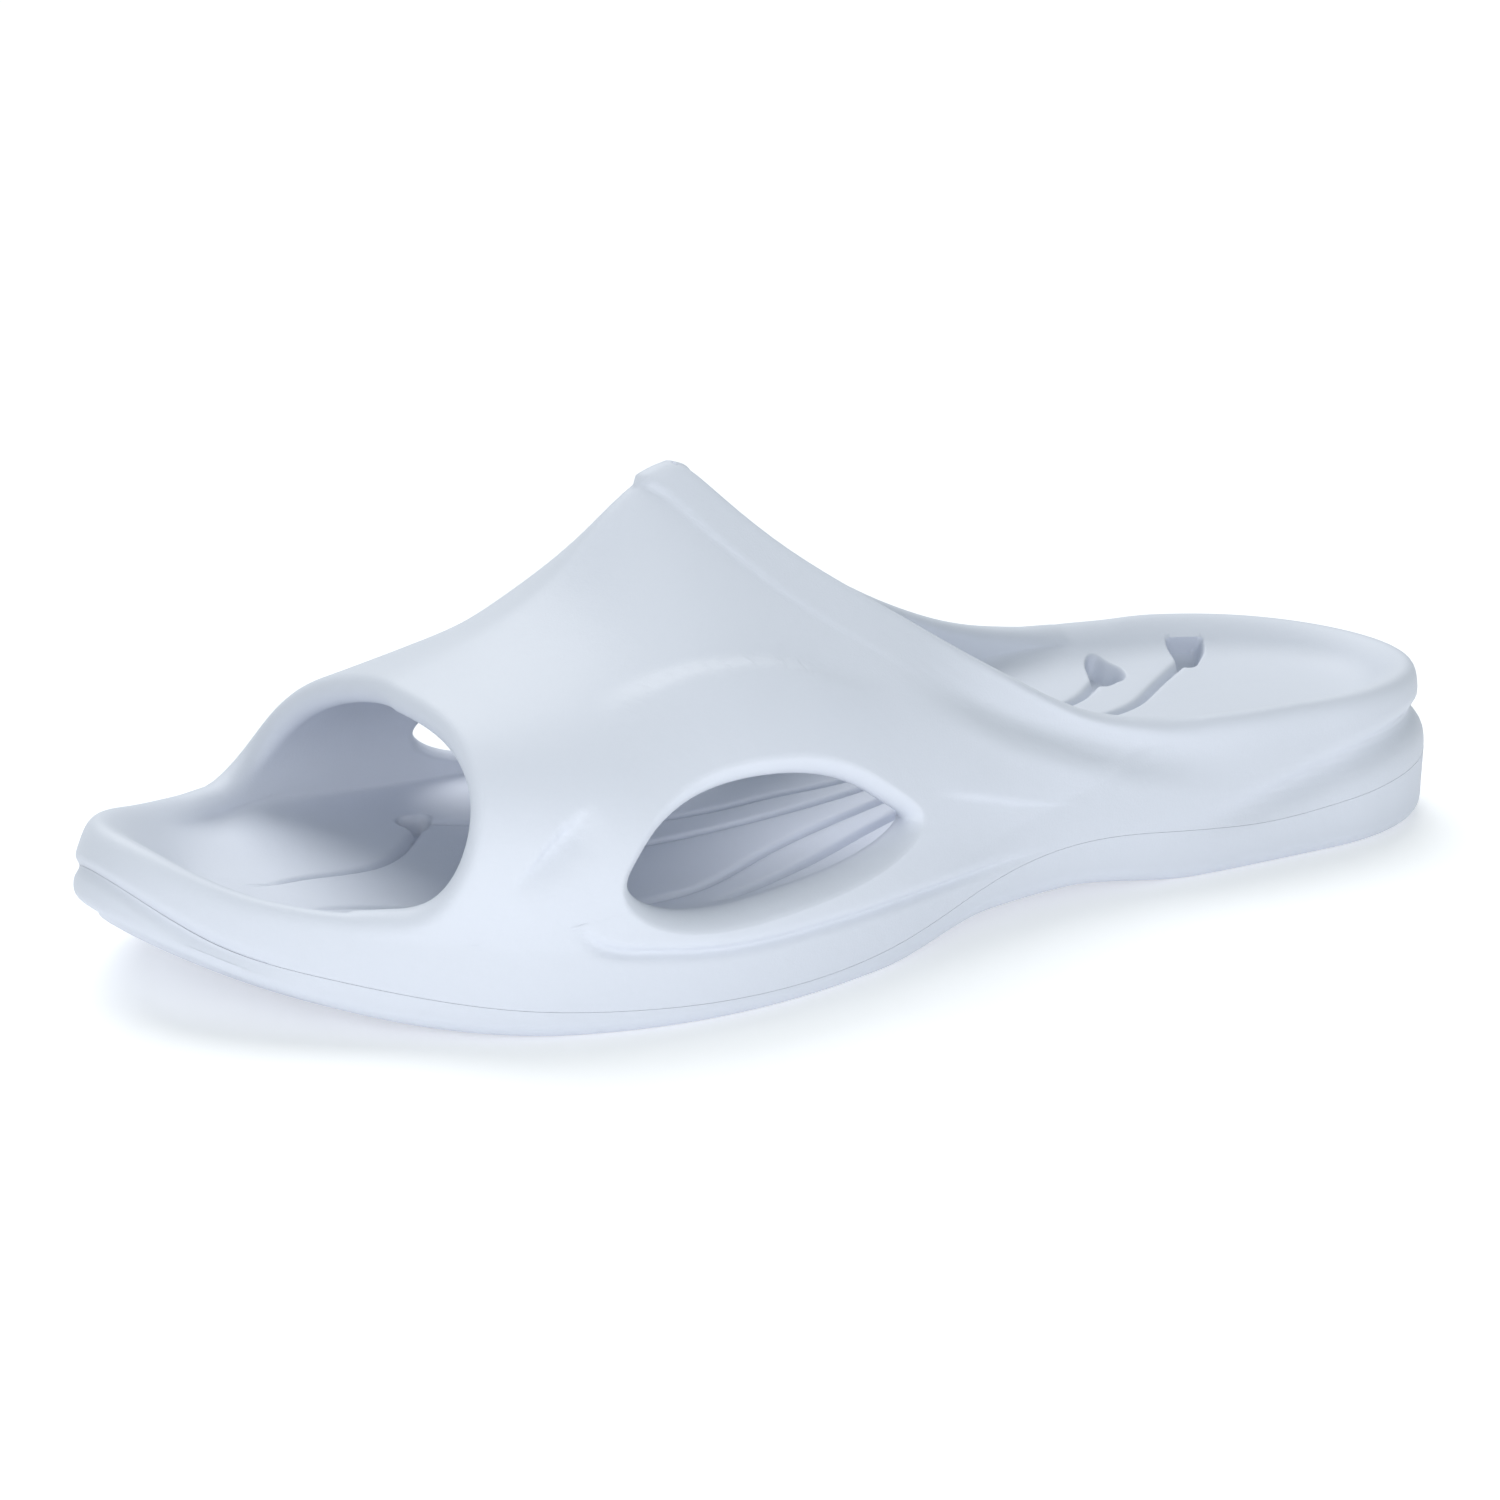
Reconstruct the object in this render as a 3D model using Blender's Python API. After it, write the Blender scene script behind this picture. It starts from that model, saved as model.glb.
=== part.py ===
"""Sport slide sandal for the left foot, moulded in soft foam.

Frame: +X to the toe, +Y to the wearer's left (the outer side of a left foot), +Z up, metres.
The origin is the middle of the slide's box, on the floor.  Two pieces:
upper_footbed  strap, side walls, footbed and midsole, moulded whole
outsole        the layer bonded under it
"""

import bmesh
import bpy
import numpy as np

# Driving dimensions
SOLE_LENGTH = 0.285        # heel end to toe end
BALL_WIDTH = 0.1055        # widest place of the sole
HEEL_END_ROUND = 0.040     # length over which the heel rounds off
TOE_END_ROUND = 0.058      # length over which the toe rounds off
RIM_HEIGHT = 0.029         # rim of the footbed above the floor, at the heel
RIDGE_HEIGHT = 0.0815      # top of the strap above the floor
BED_HEIGHT = 0.0235        # footbed above the floor, at the heel
STRAP_WALL = 0.0055        # strap
RIM_WALL = 0.0075          # rim of the footbed, measured across
SIDE_LEAN = 0.0022         # how far the side wall leans in from floor to rim
OUTSOLE_HEIGHT = 0.0135    # parting line above the floor, at the heel end
ARCH_LIFT = 0.0030         # underside above the floor, under the arch
TOE_SPRING = 0.0146        # underside above the floor, at the toe end
HEEL_LIFT = 0.0022         # underside above the floor, at the heel end
EDGE_ROUND = 0.0032        # rounding of the outsole's bottom edge
BOND_GAP = 0.0003          # clearance between the two mouldings
WINDOW_LENGTH = 0.068      # window in each side, along the foot
WINDOW_HEIGHT = 0.0205     # window in each side, upwards
GROOVE_DEPTH = 0.0016      # channel round the heel between rim and bead
GROOVE_WIDTH = 0.0019      # half width of that channel, above its bottom
SHELF_WIDTH = 0.0027       # the same below its bottom, down to the bead
PARTING_STEP = 0.0002      # upper's side wall inside the outsole's, at the parting line
TOE_GROOVE_DEPTH = 0.0010  # groove between the two mouldings, round the toe
TOE_GROOVE_WIDTH = 0.0014  # half width of that groove
INNER_RISE = 0.0008        # inner row of the rim above its outer row
WINDOW_FLARE = 0.0028      # widening of the window from its clear opening to the strap's skins
SILL_SLOPE = 0.0024        # how much higher the window's sill is inside than outside
BED_SLANT = 38             # degrees, side of the footbed below the rim, heel and toe
STRAP_SLANT = 84           # the same under the strap

# Where features lie along the sole, as shares of its length
ARCH_BACK = 0.26           # underside begins to lift behind the arch
ARCH_BACK_RAMP = 0.12
ARCH_FRONT = 0.56          # underside is down again in front of the arch
ARCH_FRONT_RAMP = 0.11
TOE_CURL_FROM = 0.76       # toe spring begins
TOE_CURL_POWER = 2.6       # how sharply it curls up towards the end
HEEL_CURL_TO = 0.05        # heel end's lift ends
CHANNEL_FROM = 0.04        # heel channel at its highest
CHANNEL_TO = 0.30          # heel channel has run out
TOE_GROOVE_FROM = 0.92     # toe groove begins
TOE_GROOVE_RAMP = 0.06
JOIN_SHARE = 0.10          # stretch over which the rim eases into the strap's foot
MIDDLE_SHARE = 0.80        # stretch that the middle line covers
UNDER_STRAP = (0.20, 0.93)  # footbed's sides stand steep between these places
UNDER_STRAP_RAMPS = (0.12, 0.08)

# Other shares that shape the surfaces
CHANNEL_LOW = 0.36         # heel channel's height where it runs out, share of RIM_HEIGHT
CHANNEL_CLIMB = 0.36       # how much higher it is at the heel end, share of RIM_HEIGHT
FOOT_LEAN = 0.04           # lean of the flank's first rise
FOOT_SPREAD = 0.10         # girth over which the strap thins from RIM_WALL to STRAP_WALL
THROAT_BEAD = 0.2          # extra thickness at the throat's edge, share of STRAP_WALL
THROAT_SPREAD = 0.08       # stretch of the strap that takes it
INNER_FOOT = 0.009         # girth at the inner skin's foot, at the strap's two edges
INNER_FOOT_RISE = 0.033    # how much more it is between them
INNER_FOOT_RAMPS = (0.18, 0.14)
GIRTH_BIAS = 0.32          # how much the rows of the strap crowd towards its foot
BED_CROWDING = 1.5         # how much the rows of the footbed crowd towards its middle
BED_FLAT = 0.62            # flat middle of the footbed, share of its half width
BED_LEAST_DROP = 0.0005    # footbed's least depth below the rim, metres
RIM_REACH = 0.62           # how far a rim's round stands out, share of its width
WINDOW_REACH = 0.5         # the same round a window
CORNER_SHARE = 0.8         # most of the outsole's side that its corner may take

# Plan of the sole: place along the length, half width and sideways shift as shares of half BALL_WIDTH
PLAN = (
    # place, half_width, shift
    (0.00, 0.653, 0.030),
    (0.12, 0.656, 0.015),
    (0.25, 0.676, 0.008),
    (0.35, 0.655, 0.022),
    (0.45, 0.704, 0.045),
    (0.55, 0.856, 0.060),
    (0.65, 0.980, 0.052),
    (0.74, 1.000, 0.028),
    (0.85, 0.887, -0.036),
    (0.93, 0.792, -0.100),
    (1.00, 0.710, -0.145),
)

# Heights along the sole: parting line as a share of OUTSOLE_HEIGHT, edge of the outer wall on each
# side as shares of RIM_HEIGHT (under the strap it is where the strap starts), footbed as a share of
# BED_HEIGHT
LEVELS = (
    # place, parting, edge_lateral, edge_medial, bed
    (0.00, 1.00, 0.895, 0.895, 1.00),
    (0.06, 0.90, 0.890, 0.910, 1.00),
    (0.15, 0.72, 0.890, 0.940, 1.01),
    (0.22, 0.66, 0.925, 0.975, 1.03),
    (0.30, 0.79, 0.895, 0.885, 1.04),
    (0.36, 0.87, 0.750, 0.750, 1.02),
    (0.43, 0.76, 0.610, 0.610, 0.93),
    (0.52, 0.42, 0.490, 0.490, 0.78),
    (0.62, 0.26, 0.465, 0.465, 0.66),
    (0.75, 0.32, 0.490, 0.490, 0.62),
    (0.84, 0.48, 0.565, 0.590, 0.66),
    (0.93, 0.86, 0.645, 0.705, 0.75),
    (0.97, 1.15, 0.730, 0.795, 0.81),
    (1.00, 1.64, 0.880, 0.880, 0.86),
)

# Strap: height of its ridge as a share of RIDGE_HEIGHT, and the ridge's sideways place as a share of
# half BALL_WIDTH.  Behind the throat the ridge is only a guide for the flanks.
RIDGE = (
    # place, height, shift
    (0.20, 0.930, 0.02),
    (0.34, 0.965, 0.02),
    (0.48, 0.998, 0.02),
    (0.58, 1.012, 0.02),
    (0.625, 1.004, 0.02),
    (0.66, 0.936, 0.03),
    (0.70, 0.808, 0.05),
    (0.75, 0.711, 0.08),
    (0.80, 0.652, 0.11),
    (0.86, 0.607, 0.13),
    (0.92, 0.590, 0.13),
)

# Flank of the strap from the side wall to the ridge, as a curve of six poles: the foot of the flank,
# rise straight above it, shoulder, flank, crown level with the ridge, and the ridge itself.
# Widths are shares of the flank's width, heights shares of its height.
LATERAL_FLANK = (
    # place, rise, shoulder_out, shoulder_up, flank_out, flank_up, crown_out
    (0.22, 0.30, 0.90, 0.55, 0.50, 0.70, 0.10),
    (0.43, 0.30, 0.91, 0.56, 0.50, 0.70, 0.10),
    (0.54, 0.30, 0.92, 0.60, 0.46, 0.67, 0.08),
    (0.62, 0.30, 0.93, 0.63, 0.42, 0.62, 0.07),
    (0.68, 0.31, 0.95, 0.72, 0.45, 0.72, 0.11),
    (0.74, 0.33, 0.98, 0.82, 0.54, 0.88, 0.20),
    (0.84, 0.35, 1.00, 0.92, 0.64, 1.00, 0.28),
    (0.92, 0.35, 1.00, 0.92, 0.66, 1.00, 0.28),
)
MEDIAL_FLANK = (
    # place, rise, shoulder_out, shoulder_up, flank_out, flank_up, crown_out
    (0.22, 0.30, 0.88, 0.60, 0.48, 0.72, 0.10),
    (0.43, 0.30, 0.90, 0.60, 0.48, 0.72, 0.10),
    (0.54, 0.30, 0.92, 0.62, 0.46, 0.68, 0.08),
    (0.62, 0.30, 0.93, 0.63, 0.40, 0.60, 0.06),
    (0.68, 0.31, 0.95, 0.66, 0.42, 0.65, 0.09),
    (0.74, 0.33, 0.96, 0.66, 0.50, 0.74, 0.15),
    (0.84, 0.34, 0.97, 0.65, 0.56, 0.80, 0.22),
    (0.92, 0.34, 0.97, 0.65, 0.56, 0.80, 0.22),
)

# Edges of the strap's two openings, from the side wall (girth 0) to the ridge (girth 1), as places
# along the length
OPENINGS = (
    # girth, throat_lateral, throat_medial, toe_lateral, toe_medial
    (0.00, 0.268, 0.212, 0.905, 0.880),
    (0.15, 0.297, 0.250, 0.876, 0.850),
    (0.30, 0.337, 0.298, 0.857, 0.829),
    (0.45, 0.386, 0.354, 0.843, 0.812),
    (0.60, 0.449, 0.425, 0.832, 0.803),
    (0.75, 0.533, 0.519, 0.824, 0.803),
    (0.90, 0.598, 0.594, 0.819, 0.811),
    (1.00, 0.624, 0.624, 0.818, 0.818),
)

# Window outline round its own middle, as shares of half WINDOW_LENGTH and half WINDOW_HEIGHT,
# from the low front corner up over the top to the rear tip and back along the sill
WINDOW = (
    # along, up
    (0.94, -0.62),
    (0.90, 0.10),
    (0.68, 0.68),
    (0.36, 0.98),
    (0.00, 0.97),
    (-0.43, 0.60),
    (-0.77, 0.02),
    (-0.88, -0.30),
    (-0.74, -0.58),
    (-0.33, -0.85),
    (0.15, -0.98),
    (0.70, -0.96),
)

# Each side's window: its middle as a share of the length, and how far the foot of its flare stands
# above the foot of the strap there
WINDOW_PLACE = {
    "lateral": (0.637, 0.0025),
    "medial": (0.577, 0.0030),
}

# How finely the surfaces are divided
FINE = 1                     # every count below is multiplied by this
HEEL_STEPS = 15 * FINE       # columns from the heel end to the strap, each side
STRAP_STEPS = 27 * FINE      # columns along the strap
TOE_STEPS = 11 * FINE        # columns from the strap to the toe end, each side
GIRTH_STEPS = 9 * FINE       # rows from the side wall to the ridge
WALL_ROWS = 4 * FINE         # rows up the outer wall
BED_ROWS = 6 * FINE          # rows from the rim down to the middle of the footbed
RIM_ROWS = 4 * FINE - 1      # rows round a rim
CORNER_ROWS = 3 * FINE       # rows round the outsole's bottom edge
SIDE_ROWS = 3 * FINE         # rows up the outsole's side
UNDER_ROWS = 3 * FINE        # rows across the parting face and the underside
WINDOW_RINGS = 2 * FINE      # rings round a window
WINDOW_FIRST = 5 * FINE      # column of the strap at which a window's frame begins
WINDOW_LAST = 24 * FINE      # and ends
WINDOW_TOP = 6 * FINE        # row at which it ends

SHARP_ANGLE = 50             # degrees, edges bent more than this show hard
HALVINGS = 30                # steps of a search by halves

HALF_BALL = BALL_WIDTH / 2
LATERAL, MEDIAL = +1, -1


def spline(rows, column):
    """Natural cubic curve through one column of a table, against its first column."""
    xs = np.array([row[0] for row in rows], float)
    ys = np.array([row[column] for row in rows], float)
    h = np.diff(xs)
    slope = np.diff(ys) / h
    count = len(xs)
    matrix = np.eye(count)
    right = np.zeros(count)
    for i in range(1, count - 1):
        matrix[i, i - 1:i + 2] = h[i - 1], 2 * (h[i - 1] + h[i]), h[i]
        right[i] = 6 * (slope[i] - slope[i - 1])
    bend = np.linalg.solve(matrix, right)

    def at(x):
        x = np.clip(np.asarray(x, float), xs[0], xs[-1])
        i = np.clip(np.searchsorted(xs, x) - 1, 0, count - 2)
        a, b, w = xs[i + 1] - x, x - xs[i], h[i]
        return ((bend[i] * a ** 3 + bend[i + 1] * b ** 3) / (6 * w)
                + (ys[i] / w - bend[i] * w / 6) * a + (ys[i + 1] / w - bend[i + 1] * w / 6) * b)
    return at


HALF_WIDTH, SHIFT = spline(PLAN, 1), spline(PLAN, 2)
PARTING, BED = spline(LEVELS, 1), spline(LEVELS, 4)
EDGE = {LATERAL: spline(LEVELS, 2), MEDIAL: spline(LEVELS, 3)}
RIDGE_UP, RIDGE_SIDE = spline(RIDGE, 1), spline(RIDGE, 2)
FLANK = {side: [spline(rows, c) for c in range(1, 7)]
         for side, rows in ((LATERAL, LATERAL_FLANK), (MEDIAL, MEDIAL_FLANK))}
THROAT = {LATERAL: spline(OPENINGS, 1), MEDIAL: spline(OPENINGS, 2)}
TOE = {LATERAL: spline(OPENINGS, 3), MEDIAL: spline(OPENINGS, 4)}


def ease(t):
    """Smooth step from 0 to 1."""
    t = np.clip(t, 0, 1)
    return t * t * (3 - 2 * t)


def unit(v):
    """Vectors scaled to length 1."""
    return v / np.maximum(np.linalg.norm(v, axis=-1, keepdims=True), 1e-12)


def end_round(s):
    """1 along the sole, falling to 0 in a round at each end."""
    heel = np.clip(1 - s * SOLE_LENGTH / HEEL_END_ROUND, 0, 1)
    toe = np.clip(1 - (1 - s) * SOLE_LENGTH / TOE_END_ROUND, 0, 1)
    return np.sqrt(np.maximum(1 - heel ** 2, 0)) * np.sqrt(np.maximum(1 - toe ** 2, 0))


def outline(s, side, inset):
    """Point of the sole's outline at the share s of its length, moved in by inset."""
    x = inset + s * (SOLE_LENGTH - 2 * inset)
    y = HALF_BALL * SHIFT(s) + side * (HALF_BALL * HALF_WIDTH(s) - inset) * end_round(s)
    return x, y


def underside(s):
    """Height of the outsole's underside: two flat pads with the arch between them."""
    arch = ARCH_LIFT * ease((s - ARCH_BACK) / ARCH_BACK_RAMP) * ease((ARCH_FRONT - s) / ARCH_FRONT_RAMP)
    toe = TOE_SPRING * np.clip((s - TOE_CURL_FROM) / (1 - TOE_CURL_FROM), 0, 1) ** TOE_CURL_POWER
    heel = HEEL_LIFT * np.clip(1 - s / HEEL_CURL_TO, 0, 1) ** 2
    return arch + toe + heel


def wall_inset(s, z):
    """How far the side stands in from the sole's outline at height z."""
    low = OUTSOLE_HEIGHT * PARTING(s)
    lean = SIDE_LEAN * ease((z - low) / (RIM_HEIGHT - low)) + PARTING_STEP
    heel = np.clip((CHANNEL_TO - s) / (CHANNEL_TO - CHANNEL_FROM), 0, 1)
    channel_up = RIM_HEIGHT * (CHANNEL_LOW + CHANNEL_CLIMB * ease(heel))
    channel_width = np.where(z < channel_up, SHELF_WIDTH, GROOVE_WIDTH)
    channel = GROOVE_DEPTH * ease(2 * heel) * np.exp(-((z - channel_up) / channel_width) ** 2)
    toe = ease((s - TOE_GROOVE_FROM) / TOE_GROOVE_RAMP) * np.exp(-((z - low) / TOE_GROOVE_WIDTH) ** 2)
    return lean + channel + TOE_GROOVE_DEPTH * toe


def edge_height(s, side):
    """Height of the outer wall's top row, before the rim rounds over or the strap begins."""
    return RIM_HEIGHT * EDGE[side](s)


def strap_outer(x, girth, side):
    """Point of the strap's outer skin at length x, and girth 0 at the side wall to 1 at the ridge."""
    x, t = np.broadcast_arrays(np.asarray(x, float), np.asarray(girth, float))
    s = x / SOLE_LENGTH
    foot_z = edge_height(s, side)
    inset = wall_inset(s, foot_z)
    foot_s = (x - inset) / (SOLE_LENGTH - 2 * inset)
    foot_y = outline(foot_s, side, inset)[1]
    top_y, top_z = HALF_BALL * RIDGE_SIDE(s), RIDGE_HEIGHT * RIDGE_UP(s)
    width, height = foot_y - top_y, top_z - foot_z
    rise, shoulder_out, shoulder_up, flank_out, flank_up, crown = [f(s) for f in FLANK[side]]
    poles_y = (foot_y, foot_y - side * FOOT_LEAN * rise * height, top_y + shoulder_out * width,
               top_y + flank_out * width, top_y + crown * width, top_y)
    poles_z = (foot_z, foot_z + rise * height, foot_z + shoulder_up * height,
               foot_z + flank_up * height, top_z, top_z)
    weights = [c * t ** k * (1 - t) ** (5 - k) for k, c in enumerate((1, 5, 10, 10, 5, 1))]
    y = sum(w * p for w, p in zip(weights, poles_y))
    z = sum(w * p for w, p in zip(weights, poles_z))
    return np.stack([x, y, z], -1)


def strap_normal(x, girth, side):
    """Outward direction of the strap's outer skin."""
    dx, dg = 0.0005, 0.004
    lo, hi = np.clip(girth - dg, 0, 1), np.clip(girth + dg, 0, 1)
    along = strap_outer(x + dx, girth, side) - strap_outer(x - dx, girth, side)
    up = strap_outer(x, hi, side) - strap_outer(x, lo, side)
    return unit(np.cross(up, along)) * side


def strap_wall(girth, along):
    """Thickness of the strap: thicker at its foot, and a little thicker at the throat's edge."""
    foot = (RIM_WALL - STRAP_WALL) * np.exp(-(girth / FOOT_SPREAD) ** 2)
    throat = THROAT_BEAD * np.exp(-(along / THROAT_SPREAD) ** 2) * ease(girth / (2 * FOOT_SPREAD))
    return STRAP_WALL * (1 + throat) + foot


def inner_start(along):
    """Girth of the outer skin level with the foot of the inner skin."""
    back, front = INNER_FOOT_RAMPS
    return INNER_FOOT + INNER_FOOT_RISE * ease(along / back) * ease((1 - along) / front)


def strap_inner(x, girth, along, side):
    """Point of the strap's inner skin, which starts a little higher than the outer one."""
    start = inner_start(along)
    level = start + (1 - start) * girth
    skin = strap_outer(x, level, side)
    return skin - strap_normal(x, level, side) * strap_wall(level, along)[..., None]


def strap_place(along, girth, side):
    """Length x on the strap for the share along from throat to toe, at a girth."""
    row = np.sqrt(girth)
    throat, toe = THROAT[side](row), TOE[side](row)
    throat0, toe0 = THROAT[side](0.0), TOE[side](0.0)
    turn = np.arccos(1 - 2 * throat0) * (1 - along) + np.arccos(1 - 2 * toe0) * along
    foot = ((1 - np.cos(turn)) / 2 - throat0) / (toe0 - throat0)
    share = foot * (1 - row) + along * row
    return SOLE_LENGTH * (throat + (toe - throat) * share)


class Net:
    """A mesh in the making: points and faces, with rows of point numbers kept for joining."""

    def __init__(self):
        self.points = []
        self.faces = []

    def add(self, points):
        """Keep points of any array shape and give their numbers in that shape."""
        points = np.asarray(points, float)
        first = len(self.points)
        self.points.extend(map(tuple, points.reshape(-1, 3)))
        return np.arange(first, len(self.points)).reshape(points.shape[:-1])

    def skin(self, rows, closed=False, flip=False):
        """Four-cornered faces between rows of numbers; repeated numbers give triangles or nothing."""
        rows = [np.asarray(row) for row in rows]
        for low, high in zip(rows[:-1], rows[1:]):
            count = len(low) if closed else len(low) - 1
            for i in range(count):
                j = (i + 1) % len(low)
                ring = [int(low[i]), int(low[j]), int(high[j]), int(high[i])]
                ring = [p for k, p in enumerate(ring) if p != ring[k - 1]]
                if len(ring) > 2:
                    self.faces.append(ring[:1] + ring[:0:-1] if flip else ring)

    def normals(self):
        """Direction of the surface at each point, from the faces made so far."""
        points = np.array(self.points)
        total = np.zeros_like(points)
        for face in self.faces:
            corner = points[face]
            area = np.cross(corner[1] - corner[0], corner[2] - corner[0])
            if len(face) == 4:
                area = area + np.cross(corner[2] - corner[0], corner[3] - corner[0])
            for p in face:
                total[p] += area
        return unit(total)

    def round_edge(self, outer, inner, steps, reach):
        """Half-round strip between two closed loops of point numbers that lie side by side."""
        points, normal = np.array(self.points), self.normals()
        ways = []
        for loop in (outer, inner):
            here = points[loop]
            along = unit(np.roll(here, -1, 0) - np.roll(here, 1, 0))
            way = unit(np.cross(along, normal[loop]))
            ways.append(way * np.sign(np.sum(way * (here - self.behind(loop)))))
        start, end = points[outer], points[inner]
        gap = np.linalg.norm(end - start, axis=1, keepdims=True) * reach
        first, last = start + ways[0] * gap, end + ways[1] * gap
        rows = [outer]
        for k in range(1, steps + 1):
            t = k / (steps + 1)
            rows.append(self.add((1 - t) ** 3 * start + 3 * (1 - t) ** 2 * t * first
                                 + 3 * (1 - t) * t ** 2 * last + t ** 3 * end))
        rows.append(inner)
        self.skin(rows, closed=True)

    def behind(self, loop):
        """For each point of a loop, the middle of the faces that meet there."""
        points = np.array(self.points)
        wanted = {int(p): i for i, p in enumerate(loop)}
        total, count = np.zeros((len(loop), 3)), np.zeros((len(loop), 1))
        for face in self.faces:
            for p in face:
                if p in wanted:
                    total[wanted[p]] += points[face].mean(0)
                    count[wanted[p]] += 1
        return total / np.maximum(count, 1)

    def make(self, name, material):
        """A closed, smooth-shaded object."""
        mesh = bpy.data.meshes.new(name)
        bm = bmesh.new()
        corners = [bm.verts.new(p) for p in self.points]
        for face in self.faces:
            bm.faces.new([corners[p] for p in face])
        loose = [v for v in bm.verts if not v.link_faces]
        bmesh.ops.delete(bm, geom=loose, context="VERTS")
        bmesh.ops.recalc_face_normals(bm, faces=bm.faces)
        bm.to_mesh(mesh)
        bm.free()
        mesh.materials.append(material)
        mesh.shade_smooth()
        mesh.set_sharp_from_angle(angle=np.radians(SHARP_ANGLE))
        part = bpy.data.objects.new(name, mesh)
        bpy.context.scene.collection.objects.link(part)
        return part


def foam(name, colour, roughness):
    """Plain finish of one moulding."""
    material = bpy.data.materials.new(name)
    material.use_nodes = True
    shader = material.node_tree.nodes["Principled BSDF"]
    shader.inputs["Base Color"].default_value = (*colour, 1)
    shader.inputs["Roughness"].default_value = roughness
    shader.inputs["Metallic"].default_value = 0.0
    return material


def column_places(side):
    """Shares of the length at which the columns of one side stand, from heel end to toe end."""
    ends = [0.0, np.arccos(1 - 2 * THROAT[side](0.0)), np.arccos(1 - 2 * TOE[side](0.0)), np.pi]
    turns = [np.linspace(a, b, steps, endpoint=False)
             for a, b, steps in zip(ends[:-1], ends[1:], (HEEL_STEPS, STRAP_STEPS, TOE_STEPS))]
    turns = np.concatenate(turns + [[np.pi]])
    return (1 - np.cos(turns)) / 2


COUNT = HEEL_STEPS + STRAP_STEPS + TOE_STEPS
STRAP_FROM, STRAP_TO = HEEL_STEPS, HEEL_STEPS + STRAP_STEPS


def ring(lateral, medial):
    """One closed ring from the points of both sides, which share the two ends."""
    return np.concatenate([lateral, medial[-2:0:-1]])


def ring_columns(place):
    """For every column of the ring, its share of the length and its side."""
    s = ring(place[LATERAL], place[MEDIAL])
    sides = ring(np.full(COUNT + 1, LATERAL), np.full(COUNT + 1, MEDIAL))
    return s, sides


def middle_line(place):
    """Points down the middle of the sole that the columns of both sides run to."""
    s = (place[LATERAL] + place[MEDIAL]) / 2
    s = 0.5 + (s - 0.5) * MIDDLE_SHARE
    return s, HALF_BALL * SHIFT(s)


def by_side(function, s, sides, *rest):
    """Values of a two-sided function around the ring."""
    return np.where(sides == LATERAL, function(s, LATERAL, *rest), function(s, MEDIAL, *rest))


def window_loop(frame, side, low_lift):
    """Window outline as (x, girth) pairs, one for each point of the frame around it."""
    middle, above = WINDOW_PLACE["lateral" if side == LATERAL else "medial"]
    table = np.array(WINDOW)
    half = np.array([WINDOW_LENGTH / 2, WINDOW_HEIGHT / 2])
    cx = SOLE_LENGTH * middle
    cz = edge_height(middle, side) + above + WINDOW_FLARE + half[1]
    knots = table * half
    knots = knots + unit(table * half[::-1]) * WINDOW_FLARE
    knots[:, 1] += low_lift * np.clip(-table[:, 1], 0, 1)
    angles = np.unwrap(np.arctan2(knots[:, 1] / half[1], knots[:, 0] / half[0]))
    reach = np.hypot(knots[:, 0] / half[0], knots[:, 1] / half[1])
    triple = np.concatenate([angles - 2 * np.pi, angles, angles + 2 * np.pi])
    reach_at = spline(list(zip(triple, np.tile(reach, 3))), 1)
    frame_z = strap_outer(frame[:, 0], frame[:, 1], side)[:, 2]
    way = np.arctan2((frame_z - cz) / half[1], (frame[:, 0] - cx) / half[0])
    way = np.mod(way - angles[0], 2 * np.pi) + angles[0]
    radius = reach_at(way)
    x = cx + radius * np.cos(way) * half[0]
    z = cz + radius * np.sin(way) * half[1]
    low, high = np.zeros_like(x), np.ones_like(x)
    for _ in range(HALVINGS):
        mid = (low + high) / 2
        over = strap_outer(x, mid, side)[:, 2] > z
        low, high = np.where(over, low, mid), np.where(over, mid, high)
    return np.stack([x, (low + high) / 2], -1)


def frame_of(rows):
    """Closed loop round the part of a row-by-column array that the window takes."""
    block = rows[:WINDOW_TOP + 1, WINDOW_FIRST:WINDOW_LAST + 1]
    return np.concatenate([block[0, :-1], block[:-1, -1], block[-1, :0:-1], block[:0:-1, 0]])


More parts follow.
